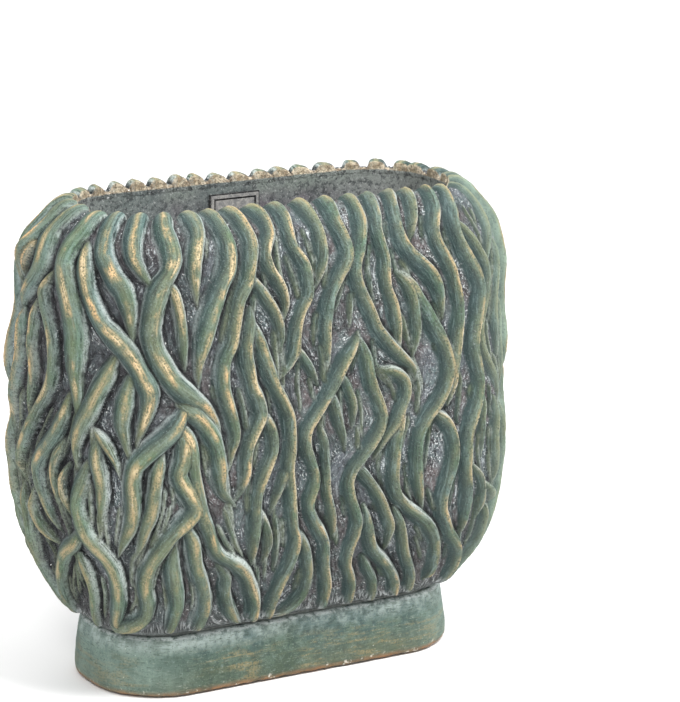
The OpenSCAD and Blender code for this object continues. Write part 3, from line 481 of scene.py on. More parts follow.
def new_mesh(name, verts, quads, tris, smooth=True):
    me = bpy.data.meshes.new(name)
    nq, nt = len(quads), len(tris)
    me.vertices.add(len(verts))
    me.vertices.foreach_set("co", np.asarray(verts, np.float32).ravel())
    loops = np.concatenate([np.asarray(quads, np.int32).ravel(), np.asarray(tris, np.int32).ravel()])
    me.loops.add(len(loops))
    me.loops.foreach_set("vertex_index", loops)
    me.polygons.add(nq + nt)
    starts = np.concatenate([np.arange(nq) * 4, nq * 4 + np.arange(nt) * 3]).astype(np.int32)
    me.polygons.foreach_set("loop_start", starts)
    me.polygons.foreach_set("use_smooth", np.full(nq + nt, smooth))
    me.update(calc_edges=True)
    me.validate()
    ob = bpy.data.objects.new(name, me)
    bpy.context.scene.collection.objects.link(ob)
    return ob


def attr(ob, name, values):
    a = ob.data.attributes.new(name, "FLOAT", "POINT")
    a.data.foreach_set("value", np.asarray(values, np.float32).ravel())


def stitch(f, b, k, flip, tris):
    """Joins a fine border to a coarse one that has every k-th of its points."""
    for j in range(len(b) - 1):
        fan = f[j * k:(j + 1) * k + 1]
        mid = len(fan) // 2
        new = [(fan[i], fan[i + 1], b[j]) for i in range(mid)]
        new.append((fan[mid], b[j + 1], b[j]))
        new += [(fan[i], fan[i + 1], b[j + 1]) for i in range(mid, len(fan) - 1)]
        tris += [t[::-1] if flip else t for t in new]


def bake_map(ob, uv):
    """A UV map named OFBake for baking, from one place for each vertex or for each loop."""
    me = ob.data
    layer = me.uv_layers.new(name="OFBake")
    if len(uv) != len(me.loops):
        li = np.zeros(len(me.loops), np.int32)
        me.loops.foreach_get("vertex_index", li)
        uv = uv[li]
    layer.uv.foreach_set("vector", np.asarray(uv, np.float32).ravel())


def rows_mesh(name, c, share):
    """A closed mesh from rows of points that run round the pot, and round again in section.

    share is how much of the bake's map each gap between two rows gets."""
    n, m = c.shape[:2]
    idx = np.arange(n * m).reshape(n, m)
    nx, ny = np.roll(idx, -1, 0), np.roll(idx, -1, 1)
    q = np.stack([idx, ny, np.roll(nx, -1, 1), nx], -1).reshape(-1, 4)
    ob = new_mesh(name, c.reshape(-1, 3), q, np.zeros((0, 3), int))
    v = np.r_[0, np.cumsum(share)] / np.sum(share) * 0.99 + 0.005
    i, j = np.meshgrid(np.arange(n), np.arange(m), indexing="ij")
    u0, u1 = i / n * 0.99 + 0.005, (i + 1) / n * 0.99 + 0.005
    bake_map(ob, np.stack([u0, v[j], u0, v[j + 1], u1, v[j + 1], u1, v[j]], -1).reshape(-1, 2))
    return ob


def sector(name, i0, i1, node):
    """A closed piece of the relief between two columns, with a coarse back face inside the core."""
    ids = np.mod(np.arange(i0, i1 + 1), NU)
    c = co[ids]
    nu, rows = len(ids), NT
    idx = np.arange(nu * rows).reshape(nu, rows)
    q = np.stack([idx[:-1, :-1], idx[:-1, 1:], idx[1:, 1:], idx[1:, :-1]], -1).reshape(-1, 4)
    bi, bj = np.arange(0, nu, K), np.arange(0, rows, K)
    UB, TB = np.meshgrid(-HALF + ids[bi] * DU, TS[bj], indexing="ij")
    e2, z2 = hermite(tk, PROFILE[:, 3], TB), hermite(tk, PROFILE[:, 4], TB)
    de, dz = (hermite(tk, PROFILE[:, 3], TB + 1) - e2), (hermite(tk, PROFILE[:, 4], TB + 1) - z2)
    ln = np.hypot(de, dz) + 1e-9
    into = 3.0 * np.clip((TB - T0) / 20 + 0.15, 0, 1)
    x2, y2 = ring(UB, e2 + into * dz / ln)
    back = np.stack([x2, y2, z2 - into * de / ln], -1) * 0.001
    nb = back.shape[:2]
    bidx = np.arange(nb[0] * nb[1]).reshape(nb) + nu * rows
    bq = np.stack([bidx[:-1, :-1], bidx[1:, :-1], bidx[1:, 1:], bidx[:-1, 1:]], -1).reshape(-1, 4)
    tris = []
    stitch(list(idx[0]), list(bidx[0]), K, True, tris)
    stitch(list(idx[-1]), list(bidx[-1]), K, False, tris)
    stitch(list(idx[:, 0]), list(bidx[:, 0]), K, False, tris)
    stitch(list(idx[:, -1]), list(bidx[:, -1]), K, True, tris)
    verts = np.vstack([c.reshape(-1, 3), back.reshape(-1, 3)])
    ob = new_mesh(name, verts, np.vstack([q, bq]), np.array(tris))
    n_back = nb[0] * nb[1]

    def put(nm, arr):
        attr(ob, nm, np.r_[arr[ids].ravel(), arr[ids][np.ix_(bi, bj)].ravel()])

    put("hgt", H)
    put("lat", lat)
    put("run", S)
    put("ident", ID * 0.618 % 1.0)
    put("down", TT)
    put("groove", cavity)
    for key, mask in PAINT.items():
        put(key, mask)
    # the front face fills the bake's map, and the hidden back a strip under it
    gu, gt = np.meshgrid(np.linspace(0.004, 0.996, nu), np.linspace(0.996, 0.064, rows), indexing="ij")
    hu, ht = np.meshgrid(np.linspace(0.004, 0.996, nb[0]), np.linspace(0.056, 0.004, nb[1]), indexing="ij")
    uv = np.vstack([np.stack([gu, gt], -1).reshape(-1, 2), np.stack([hu, ht], -1).reshape(-1, 2)])
    bake_map(ob, uv)
    nn = np.vstack([NORM[ids].reshape(-1, 3), -NORM[ids][np.ix_(bi, bj)].reshape(-1, 3)])
    ob.data.normals_split_custom_set_from_vertices(nn.tolist())
    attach(ob, "pot")
    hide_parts(node)
    ob.data.materials.append(relief_mat)
    return ob


def blur(a, n):
    for _ in range(n):
        a = (np.roll(a, 1, 0) + a + np.roll(a, -1, 0)) / 3
        b = np.pad(a, ((0, 0), (1, 1)), mode="edge")
        a = (b[:, :-2] + b[:, 1:-1] + b[:, 2:]) / 3
    return a


hm = level * depth
cavity = blur(hm, 12) - hm           # mm below the neighbourhood's mean


def step(v, a, b):
    q = np.clip((v - a) / (b - a), 0, 1)
    return q * q * (3 - 2 * q)


# where the paint lies, from each point's place across its strand
MM = X * WID
KEEN = keenness(UU)
ENDL = np.exp(-np.clip(np.abs(UU + 255) - 55, 0, None) ** 2 / 200)     # the left end
WIDE = np.exp(-((UU + 125) / 55) ** 2 - ((TT - 42) / 30) ** 2)         # the fat fingers beside it
near_line = lambda at, w: np.exp(-((MM - at * WID) / w) ** 2)
PAINT = {
    "crest": step(MM, -7.0, -0.8) * step(MM, 3.6, 0.5),
    "gold": step(MM, KEEN * 3.0 - 5.0 - 2.4 * WIDE, -0.3) * step(MM, 3.2 - 2.1 * KEEN + 1.4 * WIDE, 0.3)
            * step(H, 0.40, 0.72) * MAIN * (1 + 0.60 * WIDE) * (1 - 0.40 * (1 - KEEN) * step(TT, 160, 230)),
    "shade": step(X, 0.0, -0.80),
    # painted light on the right slope
    "slope": step(MM, 0.8, 2.6) * step(X, 1.15, 0.92) * (0.25 + 0.75 * KEEN),
    # a thin pale line along the strands' edges, part dry-brushed wear and part painted highlight
    "edge": 1.3 * np.maximum(near_line(0.98 - 0.34 * KEEN, 0.85 - 0.10 * KEEN), 0.65 * (1 - KEEN) * near_line(-0.98, 0.80)) * (1 - 0.6 * ENDL),
    # a dark line just outside each strand's right edge: dark wash and painted shade
    "under": step(MM - 1.15 * WID, 0.0, 1.0) * step(MM - 1.15 * WID, 4.2, 1.6),
    "deep": np.maximum(np.maximum(step(X - 0.98 + 0.24 * KEEN, 0.0, 0.22), 0.9 * step(-X - 0.98 + 0.32 * KEEN, 0.0, 0.50))
                       * step(H, 0.60, 0.42), step(H, 0.14, 0.05)),
    "keen": KEEN,
    # painted light over the right end of the pot
    "right_end_light": np.exp(-((UU - 180) / 30) ** 2),
    # painted shade in the low gaps between strands
    "gap_shade": step(H, 0.40, 0.12) * np.maximum((1 - 0.85 * KEEN) * step(TT, 210, 120), ENDL),
}
for k_ in ("shade", "slope", "edge", "under", "crest", "gold"):
    PAINT[k_] = PAINT[k_] * ~bare
PAINT = {k_: np.minimum(blur(v, 1), 1.3) for k_, v in PAINT.items()}

# ------------------------------------------------------------------ materials
def srgb(r, g, b):
    f = lambda v: (v / 255 / 12.92) if v / 255 <= 0.04045 else ((v / 255 + 0.055) / 1.055) ** 2.4
    return (f(r), f(g), f(b), 1.0)


class Mat:
    def __init__(self, name):
        self.m = bpy.data.materials.new(name)
        self.m.use_nodes = True
        self.t = self.m.node_tree
        self.b = self.t.nodes["Principled BSDF"]

    def n(self, kind, **kw):
        nd = self.t.nodes.new(kind)
        for k, v in kw.items():
            setattr(nd, k, v)
        return nd

    def link(self, a, b):
        self.t.links.new(a, b)

    def val(self, sock, v):
        if hasattr(v, "is_linked") or isinstance(v, bpy.types.NodeSocket):
            self.link(v, sock)
        else:
            sock.default_value = v

    def attr(self, name):
        nd = self.n("ShaderNodeAttribute")
        nd.attribute_name = name
        return nd.outputs["Fac"]

    def math(self, op, a, b=0.0, c=0.0, clamp=False):
        nd = self.n("ShaderNodeMath", operation=op, use_clamp=clamp)
        for s, v in zip(nd.inputs, (a, b, c)):
            self.val(s, v)
        return nd.outputs[0]

    def ramp(self, v, a, b, lo=0.0, hi=1.0):
        nd = self.n("ShaderNodeMapRange", clamp=True, interpolation_type="SMOOTHSTEP")
        for s, q in zip(("Value", "From Min", "From Max", "To Min", "To Max"), (v, a, b, lo, hi)):
            self.val(nd.inputs[s], q)
        return nd.outputs["Result"]

    def coords(self):
        return self.n("ShaderNodeTexCoord").outputs["Object"]

    def vec(self, x, y, z):
        nd = self.n("ShaderNodeCombineXYZ")
        for s, v in zip(nd.inputs, (x, y, z)):
            self.val(s, v)
        return nd.outputs[0]

    def noise(self, vec, scale, detail=3.0, rough=0.55, dist=0.0):
        nd = self.n("ShaderNodeTexNoise")
        self.link(vec, nd.inputs["Vector"])
        nd.inputs["Scale"].default_value = scale
        nd.inputs["Detail"].default_value = detail
        nd.inputs["Roughness"].default_value = rough
        nd.inputs["Distortion"].default_value = dist
        return nd.outputs["Fac"]

    def mix(self, f, a, b):
        nd = self.n("ShaderNodeMix", data_type="RGBA")
        self.val(nd.inputs["Factor"], f)
        self.val(nd.inputs[6], a)
        self.val(nd.inputs[7], b)
        return nd.outputs[2]

    def bump(self, h, dist, strength=1.0, normal=None):
        nd = self.n("ShaderNodeBump")
        self.link(h, nd.inputs["Height"])
        nd.inputs["Distance"].default_value = dist
        nd.inputs["Strength"].default_value = strength
        if normal is not None:
            self.link(normal, nd.inputs["Normal"])
        return nd.outputs["Normal"]


def at_ends(m, x, a, b, hi):
    return m.ramp(m.math("ABSOLUTE", x), a, b, 0.0, hi)


def wall_paint(m, oc, x, z):
    big, midn, fine_ = m.noise(oc, 16.0, 4.0, 0.6), m.noise(oc, 70.0, 5.0, 0.65), m.noise(oc, 240.0, 4.0, 0.7)
    grit = m.noise(oc, 620.0, 3.0, 0.7)
    col = m.mix(m.ramp(big, 0.36, 0.64), srgb(88, 97, 96), srgb(102, 96, 102))
    col = m.mix(m.ramp(midn, 0.44, 0.64, 0, 0.5), col, srgb(120, 126, 124))
    col = m.mix(m.math("MULTIPLY", m.ramp(z, 0.306, 0.321), m.ramp(big, 0.42, 0.60, 0.1, 0.7)), col, srgb(124, 136, 126))
    col = m.mix(at_ends(m, x, 0.06, 0.12, 0.60), col, srgb(136, 140, 136))
    col = m.mix(m.ramp(fine_, 0.50, 0.38, 0, 0.75), col, srgb(56, 60, 62))
    col = m.mix(m.ramp(grit, 0.56, 0.70, 0, 0.7), col, srgb(168, 170, 168))
    col = m.mix(m.ramp(grit, 0.44, 0.33, 0, 0.7), col, srgb(50, 52, 54))
    return col, midn, fine_, grit


def patina():
    m = Mat("patina_relief")
    oc = m.coords()
    sep = m.n("ShaderNodeSeparateXYZ")
    m.link(oc, sep.inputs[0])
    hgt, lat_, run_, idn, down, cav = [m.attr(k) for k in ("hgt", "lat", "run", "ident", "down", "groove")]
    crest, gold_, shade, slope, edge, under, deep, gap_shade, keen_, right_end_light = [m.attr(k) for k in (
        "crest", "gold", "shade", "slope", "edge", "under", "deep", "gap_shade", "keen", "right_end_light")]
    along = lambda a, b, c: m.vec(m.math("MULTIPLY", lat_, a), m.math("MULTIPLY", run_, b), m.math("MULTIPLY", idn, c))
    mul = lambda a, b: m.math("MULTIPLY", a, b)
    add = lambda a, b: m.math("ADD", a, b)
    streak = m.noise(along(0.20, 0.042, 37.0), 1.0, 2.0, 0.5)
    hair = m.noise(along(1.05, 0.060, 53.0), 1.0, 3.0, 0.66)
    scratch = m.noise(along(0.95, 0.12, 11.0), 1.0, 3.0, 0.65)
    big = m.noise(oc, 17.0, 3.0, 0.5)
    midn = m.noise(oc, 75.0, 4.0, 0.6)
    blot = m.noise(oc, 230.0, 4.0, 0.65)
    grit = m.noise(oc, 760.0, 2.0, 0.6)
    chip = m.noise(oc, 430.0, 2.0, 0.5)
    # green: teal to olive, brushed along the strand, with painted shade down the left slope
    col = m.mix(m.ramp(big, 0.38, 0.62), srgb(84, 101, 84), srgb(74, 102, 100))
    col = m.mix(m.ramp(idn, 0.5, 1.0, 0, 0.5), col, srgb(102, 112, 82))
    low_left = mul(m.ramp(keen_, 0.9, 0.1), m.ramp(down, 150.0, 250.0))
    col = m.mix(mul(low_left, m.ramp(big, 0.40, 0.58, 0.75, 0.40)), col, srgb(90, 104, 70))
    col = m.mix(m.ramp(m.noise(oc, 30.0, 2.0), 0.49, 0.62, 0, 0.60), col, srgb(70, 108, 76))
    col = m.mix(m.ramp(midn, 0.42, 0.66, 0, 0.45), col, srgb(112, 132, 124))
    col = m.mix(mul(shade, 0.84), col, srgb(30, 50, 52))
    col = m.mix(mul(m.ramp(blot, 0.53, 0.40, 0, 0.55), m.ramp(keen_, 0.0, 1.0, 0.5, 1.0)), col, srgb(46, 60, 60))
    col = m.mix(mul(m.ramp(hair, 0.52, 0.68, 0, 0.55), m.ramp(keen_, 0.0, 1.0, 0.5, 1.0)), col, srgb(134, 156, 154))
    col = m.mix(m.ramp(hair, 0.48, 0.36, 0, 0.66), col, srgb(28, 40, 40))
    # painted light: the right end of the pot paler green
    col = m.mix(mul(right_end_light, m.ramp(midn, 0.36, 0.60, 0.30, 0.80)), col, srgb(148, 170, 152))
    # olive round the crest, rubbed bronze along it in soft patches
    worn = m.ramp(add(add(streak, mul(m.noise(oc, 46.0, 3.0), 0.9)), mul(keen_, 0.035)), 0.82, 1.10)
    g = mul(gold_, worn)
    g = mul(g, m.ramp(add(hair, mul(grit, 0.8)), 0.70, 1.00, 0.22, 1.12))
    col = m.mix(mul(crest, add(mul(worn, 0.40), m.ramp(keen_, 0.0, 1.0, 0.36, 0.22))), col, srgb(124, 128, 94))
    col = m.mix(m.ramp(g, 0.02, 0.42, 0, 0.80), col, srgb(148, 134, 98))
    bright = m.mix(m.ramp(big, 0.42, 0.58), srgb(212, 190, 150), srgb(220, 180, 130))
    bright = m.mix(mul(low_left, 0.60), bright, srgb(176, 156, 112))
    col = m.mix(m.ramp(g, 0.28, 0.90, 0, 0.92), col, bright)
    # painted light: a paler right slope, and a thin, broken pale line along the lower right edge that is part
    # dry-brushed wear and part painted highlight
    col = m.mix(mul(slope, m.ramp(hair, 0.38, 0.60, 0.12, 0.62)), col, srgb(134, 154, 146))
    # the pale edge line: part dry-brushed wear, part painted highlight
    line = mul(edge, m.ramp(add(streak, mul(hair, 0.9)), 0.75, 0.95))
    line = mul(line, m.ramp(grit, 0.34, 0.54, 0.5, 1.0))
    col = m.mix(mul(line, 0.98), col, srgb(228, 236, 234))
    col = m.mix(m.ramp(grit, 0.56, 0.74, 0, 0.35), col, srgb(150, 166, 164))
    col = m.mix(mul(m.ramp(grit, 0.46, 0.30, 0, 0.65), m.ramp(keen_, 0.0, 1.0, 0.6, 1.0)), col, srgb(26, 36, 38))
    # painted shade down the left slope again, laid over the specks
    col = m.mix(mul(shade, m.ramp(keen_, 0.0, 1.0, 0.20, 0.64)), col, srgb(32, 52, 52))
    # grooves: a grey and mauve wash, scratched along the strands, darker towards the bottom, and near black in the
    # deepest creases from dark wash and painted shade
    broken = mul(m.math("SUBTRACT", midn, 0.5), 1.0)
    deep = m.ramp(add(deep, broken), 0.25, 0.75)
    busy = m.ramp(m.noise(oc, 52.0, 2.0), 0.42, 0.58, 0.35, 1.0)
    wash = m.mix(m.ramp(big, 0.42, 0.58), srgb(98, 104, 110), srgb(108, 98, 98))
    wash = m.mix(m.ramp(midn, 0.46, 0.60, 0, 0.65), wash, srgb(88, 108, 106))
    wash = m.mix(m.ramp(blot, 0.48, 0.62, 0, 0.36), wash, srgb(132, 138, 140))
    wash = m.mix(m.ramp(blot, 0.46, 0.36, 0, 0.55), wash, srgb(68, 62, 64))
    wash = m.mix(mul(busy, m.ramp(scratch, 0.47, 0.37, 0, 0.90)), wash, srgb(24, 26, 30))
    wash = m.mix(mul(busy, m.ramp(scratch, 0.56, 0.64, 0, 0.85)), wash, srgb(214, 222, 224))
    wash = m.mix(mul(busy, m.ramp(grit, 0.57, 0.68, 0, 0.9)), wash, srgb(236, 240, 240))
    wash = m.mix(mul(busy, m.ramp(grit, 0.46, 0.33, 0, 0.85)), wash, srgb(20, 22, 26))
    wash = m.mix(m.ramp(down, 190.0, 270.0, 0, 0.34), wash, srgb(56, 60, 62))
    col = m.mix(mul(deep, 0.95), col, wash)
    # dark wash and painted shade: near black in the creases and in a line outside the strands' right edges
    dark = m.ramp(add(cav, mul(broken, 0.8)), 0.7, 2.2)
    dark = m.math("MAXIMUM", dark, mul(under, m.ramp(streak, 0.40, 0.60, 0.35, 1.0)))
    col = m.mix(mul(dark, m.ramp(scratch, 0.62, 0.44, 0.50, 0.94)), col, srgb(16, 18, 20))
    # painted shade in the low gaps between the strands
    col = m.mix(mul(gap_shade, m.ramp(blot, 0.64, 0.38, 0.34, 0.78)), col, srgb(46, 46, 50))
    # dark, scratched feet at the seam
    foot = mul(m.ramp(add(down, mul(broken, 6.0)), 302.0, 312.0), m.ramp(hgt, 0.9, 0.4, 0.35, 0.9))
    col = m.mix(foot, col, m.mix(m.ramp(scratch, 0.44, 0.60), srgb(62, 66, 66), srgb(180, 184, 184)))
    # painted light: the lowest band of the relief paler, against the shade in the gap above the plinth
    col = m.mix(m.ramp(down, 313.0, 317.0, 0, 0.7), col, srgb(120, 126, 124))
    # inner side of the rim: grey as the wall, with tan on the ends of the strands
    lip = m.ramp(add(down, mul(broken, 1.5)), 0.6, -1.6)
    tan = m.mix(m.ramp(blot, 0.42, 0.60), srgb(148, 130, 106), srgb(214, 198, 172))
    col = m.mix(mul(lip, m.ramp(grit, 0.36, 0.56, 0.45, 0.9)), col, tan)
    col = m.mix(m.ramp(add(down, mul(broken, 2.0)), -4.6, -6.2), col, wall_paint(m, oc, sep.outputs[0], sep.outputs[2])[0])
    # olive tan on the strands' ends at the mouth
    tops = mul(m.ramp(down, 15.0, 3.0), mul(crest, m.ramp(down, -3.0, 1.0)))
    col = m.mix(mul(tops, m.ramp(midn, 0.38, 0.60, 0.15, 0.70)), col, srgb(150, 142, 108))
    # chips, mostly in the grooves
    fl = mul(m.ramp(chip, 0.665, 0.715), m.ramp(midn, 0.46, 0.56))
    col = m.mix(mul(fl, add(mul(deep, 0.80), 0.08)), col, srgb(240, 242, 240))
    m.link(col, m.b.inputs["Base Color"])
    m.link(add(mul(g, -0.16), m.ramp(grit, 0.3, 0.7, 0.56, 0.78)), m.b.inputs["Roughness"])
    m.b.inputs["Specular IOR Level"].default_value = 0.45
    rough = mul(scratch, add(mul(deep, 0.85), 0.15))
    b1 = m.bump(rough, 0.0030, 1.0)
    b2 = m.bump(hair, 0.0014, 0.9, b1)
    b3 = m.bump(grit, 0.0010, 0.9, b2)
    m.link(b3, m.b.inputs["Normal"])
    return m.m


def stone(name, a, b, c, dark, rough=0.82, bumpd=0.0006):
    m = Mat(name)
    oc = m.coords()
    big, midn, grit = m.noise(oc, 12.0, 3.0), m.noise(oc, 55.0, 4.0, 0.6), m.noise(oc, 380.0, 4.0, 0.7)
    col = m.mix(m.ramp(big, 0.36, 0.64), a, b)
    col = m.mix(m.ramp(midn, 0.45, 0.68, 0, 0.6), col, c)
    col = m.mix(m.ramp(grit, 0.56, 0.44, 0, 0.45), col, dark)
    m.link(col, m.b.inputs["Base Color"])
    m.b.inputs["Roughness"].default_value = rough
    m.b.inputs["Specular IOR Level"].default_value = 0.3
    m.link(m.bump(grit, bumpd, 0.8, m.bump(midn, bumpd * 2, 0.5)), m.b.inputs["Normal"])
    return m.m


def plinth_mat():
    m = Mat("plinth_patina")
    oc = m.coords()
    sep = m.n("ShaderNodeSeparateXYZ")
    m.link(oc, sep.inputs[0])
    z = sep.outputs[2]
    stretch = m.n("ShaderNodeMapping")
    m.link(oc, stretch.inputs["Vector"])
    stretch.inputs["Scale"].default_value = (1.0, 1.0, 7.0)
    sv = stretch.outputs[0]
    lines = m.noise(sv, 34.0, 5.0, 0.68)
    lines2 = m.noise(sv, 150.0, 5.0, 0.72)
    big, midn, blot = m.noise(oc, 20.0, 3.0), m.noise(oc, 80.0, 4.0, 0.6), m.noise(oc, 230.0, 4.0, 0.65)
    grit = m.noise(oc, 760.0, 2.0, 0.6)
    col = m.mix(m.ramp(big, 0.38, 0.62), srgb(62, 78, 64), srgb(64, 86, 84))
    col = m.mix(m.ramp(midn, 0.42, 0.64, 0, 0.7), col, srgb(84, 103, 90))
    col = m.mix(m.ramp(blot, 0.48, 0.38, 0, 0.55), col, srgb(48, 64, 60))
    col = m.mix(m.ramp(blot, 0.56, 0.68, 0, 0.5), col, srgb(114, 130, 124))
    low_ = m.math("MULTIPLY", m.ramp(z, 0.030, 0.006), m.ramp(big, 0.40, 0.62, 0.15, 0.70))
    col = m.mix(low_, col, srgb(88, 94, 72))
    # painted light: both ends paler than the front
    col = m.mix(m.math("MULTIPLY", at_ends(m, sep.outputs[0], 0.075, 0.125, 0.7), m.ramp(midn, 0.36, 0.60, 0.5, 1.0)), col, srgb(118, 138, 128))
    # paler towards the top edge, with a painted highlight along the edge itself
    topm = m.math("MULTIPLY", m.ramp(z, 0.026, 0.0395), m.ramp(midn, 0.36, 0.60, 0.18, 0.74))
    topm = m.math("MULTIPLY", topm, m.ramp(blot, 0.36, 0.56, 0.45, 1.0))
    col = m.mix(topm, col, srgb(170, 182, 178))
    # painted highlight along the plinth's top edge
    top_edge_highlight = m.math("MULTIPLY", m.ramp(z, 0.0386, 0.0404), m.ramp(blot, 0.40, 0.54, 0.1, 0.8))
    col = m.mix(top_edge_highlight, col, srgb(200, 208, 206))
    # brown and bronze rubs along the sides
    rub = m.math("MULTIPLY", m.ramp(lines, 0.47, 0.60), m.ramp(m.noise(oc, 26.0, 2.0), 0.38, 0.56))
    rub = m.math("MULTIPLY", rub, m.ramp(z, 0.034, 0.020))
    rub = m.math("MULTIPLY", rub, m.math("SUBTRACT", 1.0, at_ends(m, sep.outputs[0], 0.06, 0.11, 0.35)))
    rub = m.math("MULTIPLY", rub, m.ramp(grit, 0.36, 0.56, 0.2, 1.0))
    col = m.mix(m.math("MULTIPLY", rub, 0.62), col, srgb(140, 124, 86))
    col = m.mix(m.ramp(lines2, 0.56, 0.68, 0, 0.5), col, srgb(134, 144, 132))
    col = m.mix(m.ramp(lines2, 0.45, 0.34, 0, 0.7), col, srgb(54, 68, 58))
    col = m.mix(m.ramp(grit, 0.58, 0.74, 0, 0.35), col, srgb(150, 162, 152))
    col = m.mix(m.ramp(grit, 0.44, 0.30, 0, 0.45), col, srgb(44, 56, 52))
    # rust brown, chipped lower edge
    low = m.math("MULTIPLY", m.ramp(z, 0.0062, 0.0020), m.ramp(midn, 0.36, 0.58, 0.35, 1.0))
    col = m.mix(m.math("MULTIPLY", low, 0.85), col, srgb(150, 108, 72))
    chip = m.math("MULTIPLY", m.ramp(z, 0.0075, 0.003), m.ramp(m.noise(oc, 210.0, 3.0, 0.6), 0.60, 0.68))
    col = m.mix(m.math("MULTIPLY", chip, 0.85), col, srgb(222, 216, 202))
    fl = m.math("MULTIPLY", m.ramp(m.noise(oc, 700.0, 2.0, 0.6), 0.72, 0.77), m.ramp(midn, 0.48, 0.60))
    col = m.mix(m.math("MULTIPLY", fl, 0.75), col, srgb(226, 226, 218))
    m.link(col, m.b.inputs["Base Color"])
    m.link(m.ramp(grit, 0.3, 0.7, 0.66, 0.86), m.b.inputs["Roughness"])
    m.b.inputs["Specular IOR Level"].default_value = 0.35
    m.link(m.bump(grit, 0.0007, 0.7, m.bump(lines2, 0.0008, 0.55, m.bump(blot, 0.001, 0.4))), m.b.inputs["Normal"])
    return m.m


def body_mat():
    m = Mat("inner_wash")
    oc = m.coords()
    sep = m.n("ShaderNodeSeparateXYZ")
    m.link(oc, sep.inputs[0])
    z = sep.outputs[2]
    col, midn, fine_, grit = wall_paint(m, oc, sep.outputs[0], z)
    m.link(col, m.b.inputs["Base Color"])
    m.link(m.ramp(grit, 0.3, 0.7, 0.74, 0.9), m.b.inputs["Roughness"])
    m.b.inputs["Specular IOR Level"].default_value = 0.3
    m.link(m.bump(fine_, 0.0012, 0.6, m.bump(midn, 0.002, 0.5)), m.b.inputs["Normal"])
    return m.m


def plate_mat():
    """Same wash as the wall, with dark wash in the groove round the frame and painted shadow along the plate's edge."""
    m = Mat("plate_wash")
    oc = m.coords()
    lo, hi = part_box("name_plate")
    sep = m.n("ShaderNodeSeparateXYZ")
    m.link(oc, sep.inputs[0])
    dist = []
    for k in (0, 2):
        off = m.math("ABSOLUTE", m.math("SUBTRACT", sep.outputs[k], (lo[k] + hi[k]) / 2))
        dist.append(m.math("SUBTRACT", (hi[k] - lo[k]) / 2, off))
    inset = m.math("MINIMUM", dist[0], dist[1])
    fine_, grit = m.noise(oc, 260.0, 4.0, 0.7), m.noise(oc, 700.0, 3.0, 0.7)
    col = m.mix(m.ramp(fine_, 0.38, 0.62), srgb(118, 118, 118), srgb(150, 148, 144))
    col = m.mix(m.ramp(grit, 0.54, 0.68, 0, 0.6), col, srgb(184, 182, 176))
    # dark lines: dark wash in the frame's groove, painted shadow along the plate's edge
    line = m.math("MAXIMUM", m.math("COMPARE", inset, 0.0037, 0.00062), m.math("LESS_THAN", inset, 0.00095))
    col = m.mix(m.math("MULTIPLY", line, m.ramp(grit, 0.70, 0.50, 0.6, 0.95)), col, srgb(26, 28, 30))
    m.link(col, m.b.inputs["Base Color"])
    m.b.inputs["Roughness"].default_value = 0.8
    m.b.inputs["Specular IOR Level"].default_value = 0.3
    m.link(m.bump(fine_, 0.0008, 0.6), m.b.inputs["Normal"])
    return m.m


def rubber(name, c):
    m = Mat(name)
    g = m.noise(m.coords(), 700.0, 3.0)
    m.link(m.mix(m.ramp(g, 0.4, 0.7), c, tuple(min(1, v * 1.7) for v in c[:3]) + (1,)), m.b.inputs["Base Color"])
    m.b.inputs["Roughness"].default_value = 0.62
    m.link(m.bump(g, 0.0002, 0.5), m.b.inputs["Normal"])
    return m.m


def dress(node, mat):
    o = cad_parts[node]
    o.data.materials.clear()
    o.data.materials.append(mat)


relief_mat = patina()
col = lambda u: int(round((u + HALF) / DU / K)) * K
c0, c1 = col(-180), col(135)
half_n = NU // 2
for nm, i0, i1, node in (("relief_front", c0, c1, "strands_front"),
                         ("relief_right_end", c1, c0 + half_n, "strands_right_end"),
                         ("relief_back", c0 + half_n, c1 + half_n, "strands_back"),
                         ("relief_left_end", c1 + half_n - NU, c0, "strands_left_end")):
    sector(nm, i0, i1, node)

# ------------------------------------------------------------------ body
CAVITY = np.array([(-4, 58), (1, 60), (4, 65), (9, 80), (14, 105), (17, 128), (18, 150), (18.6, 180),
                   (18, 215), (15.5, 237), (12, 255), (7, 270), (3, 281), (0.6, 290), (0.45, 300),
                   (0.45, 330)], float)


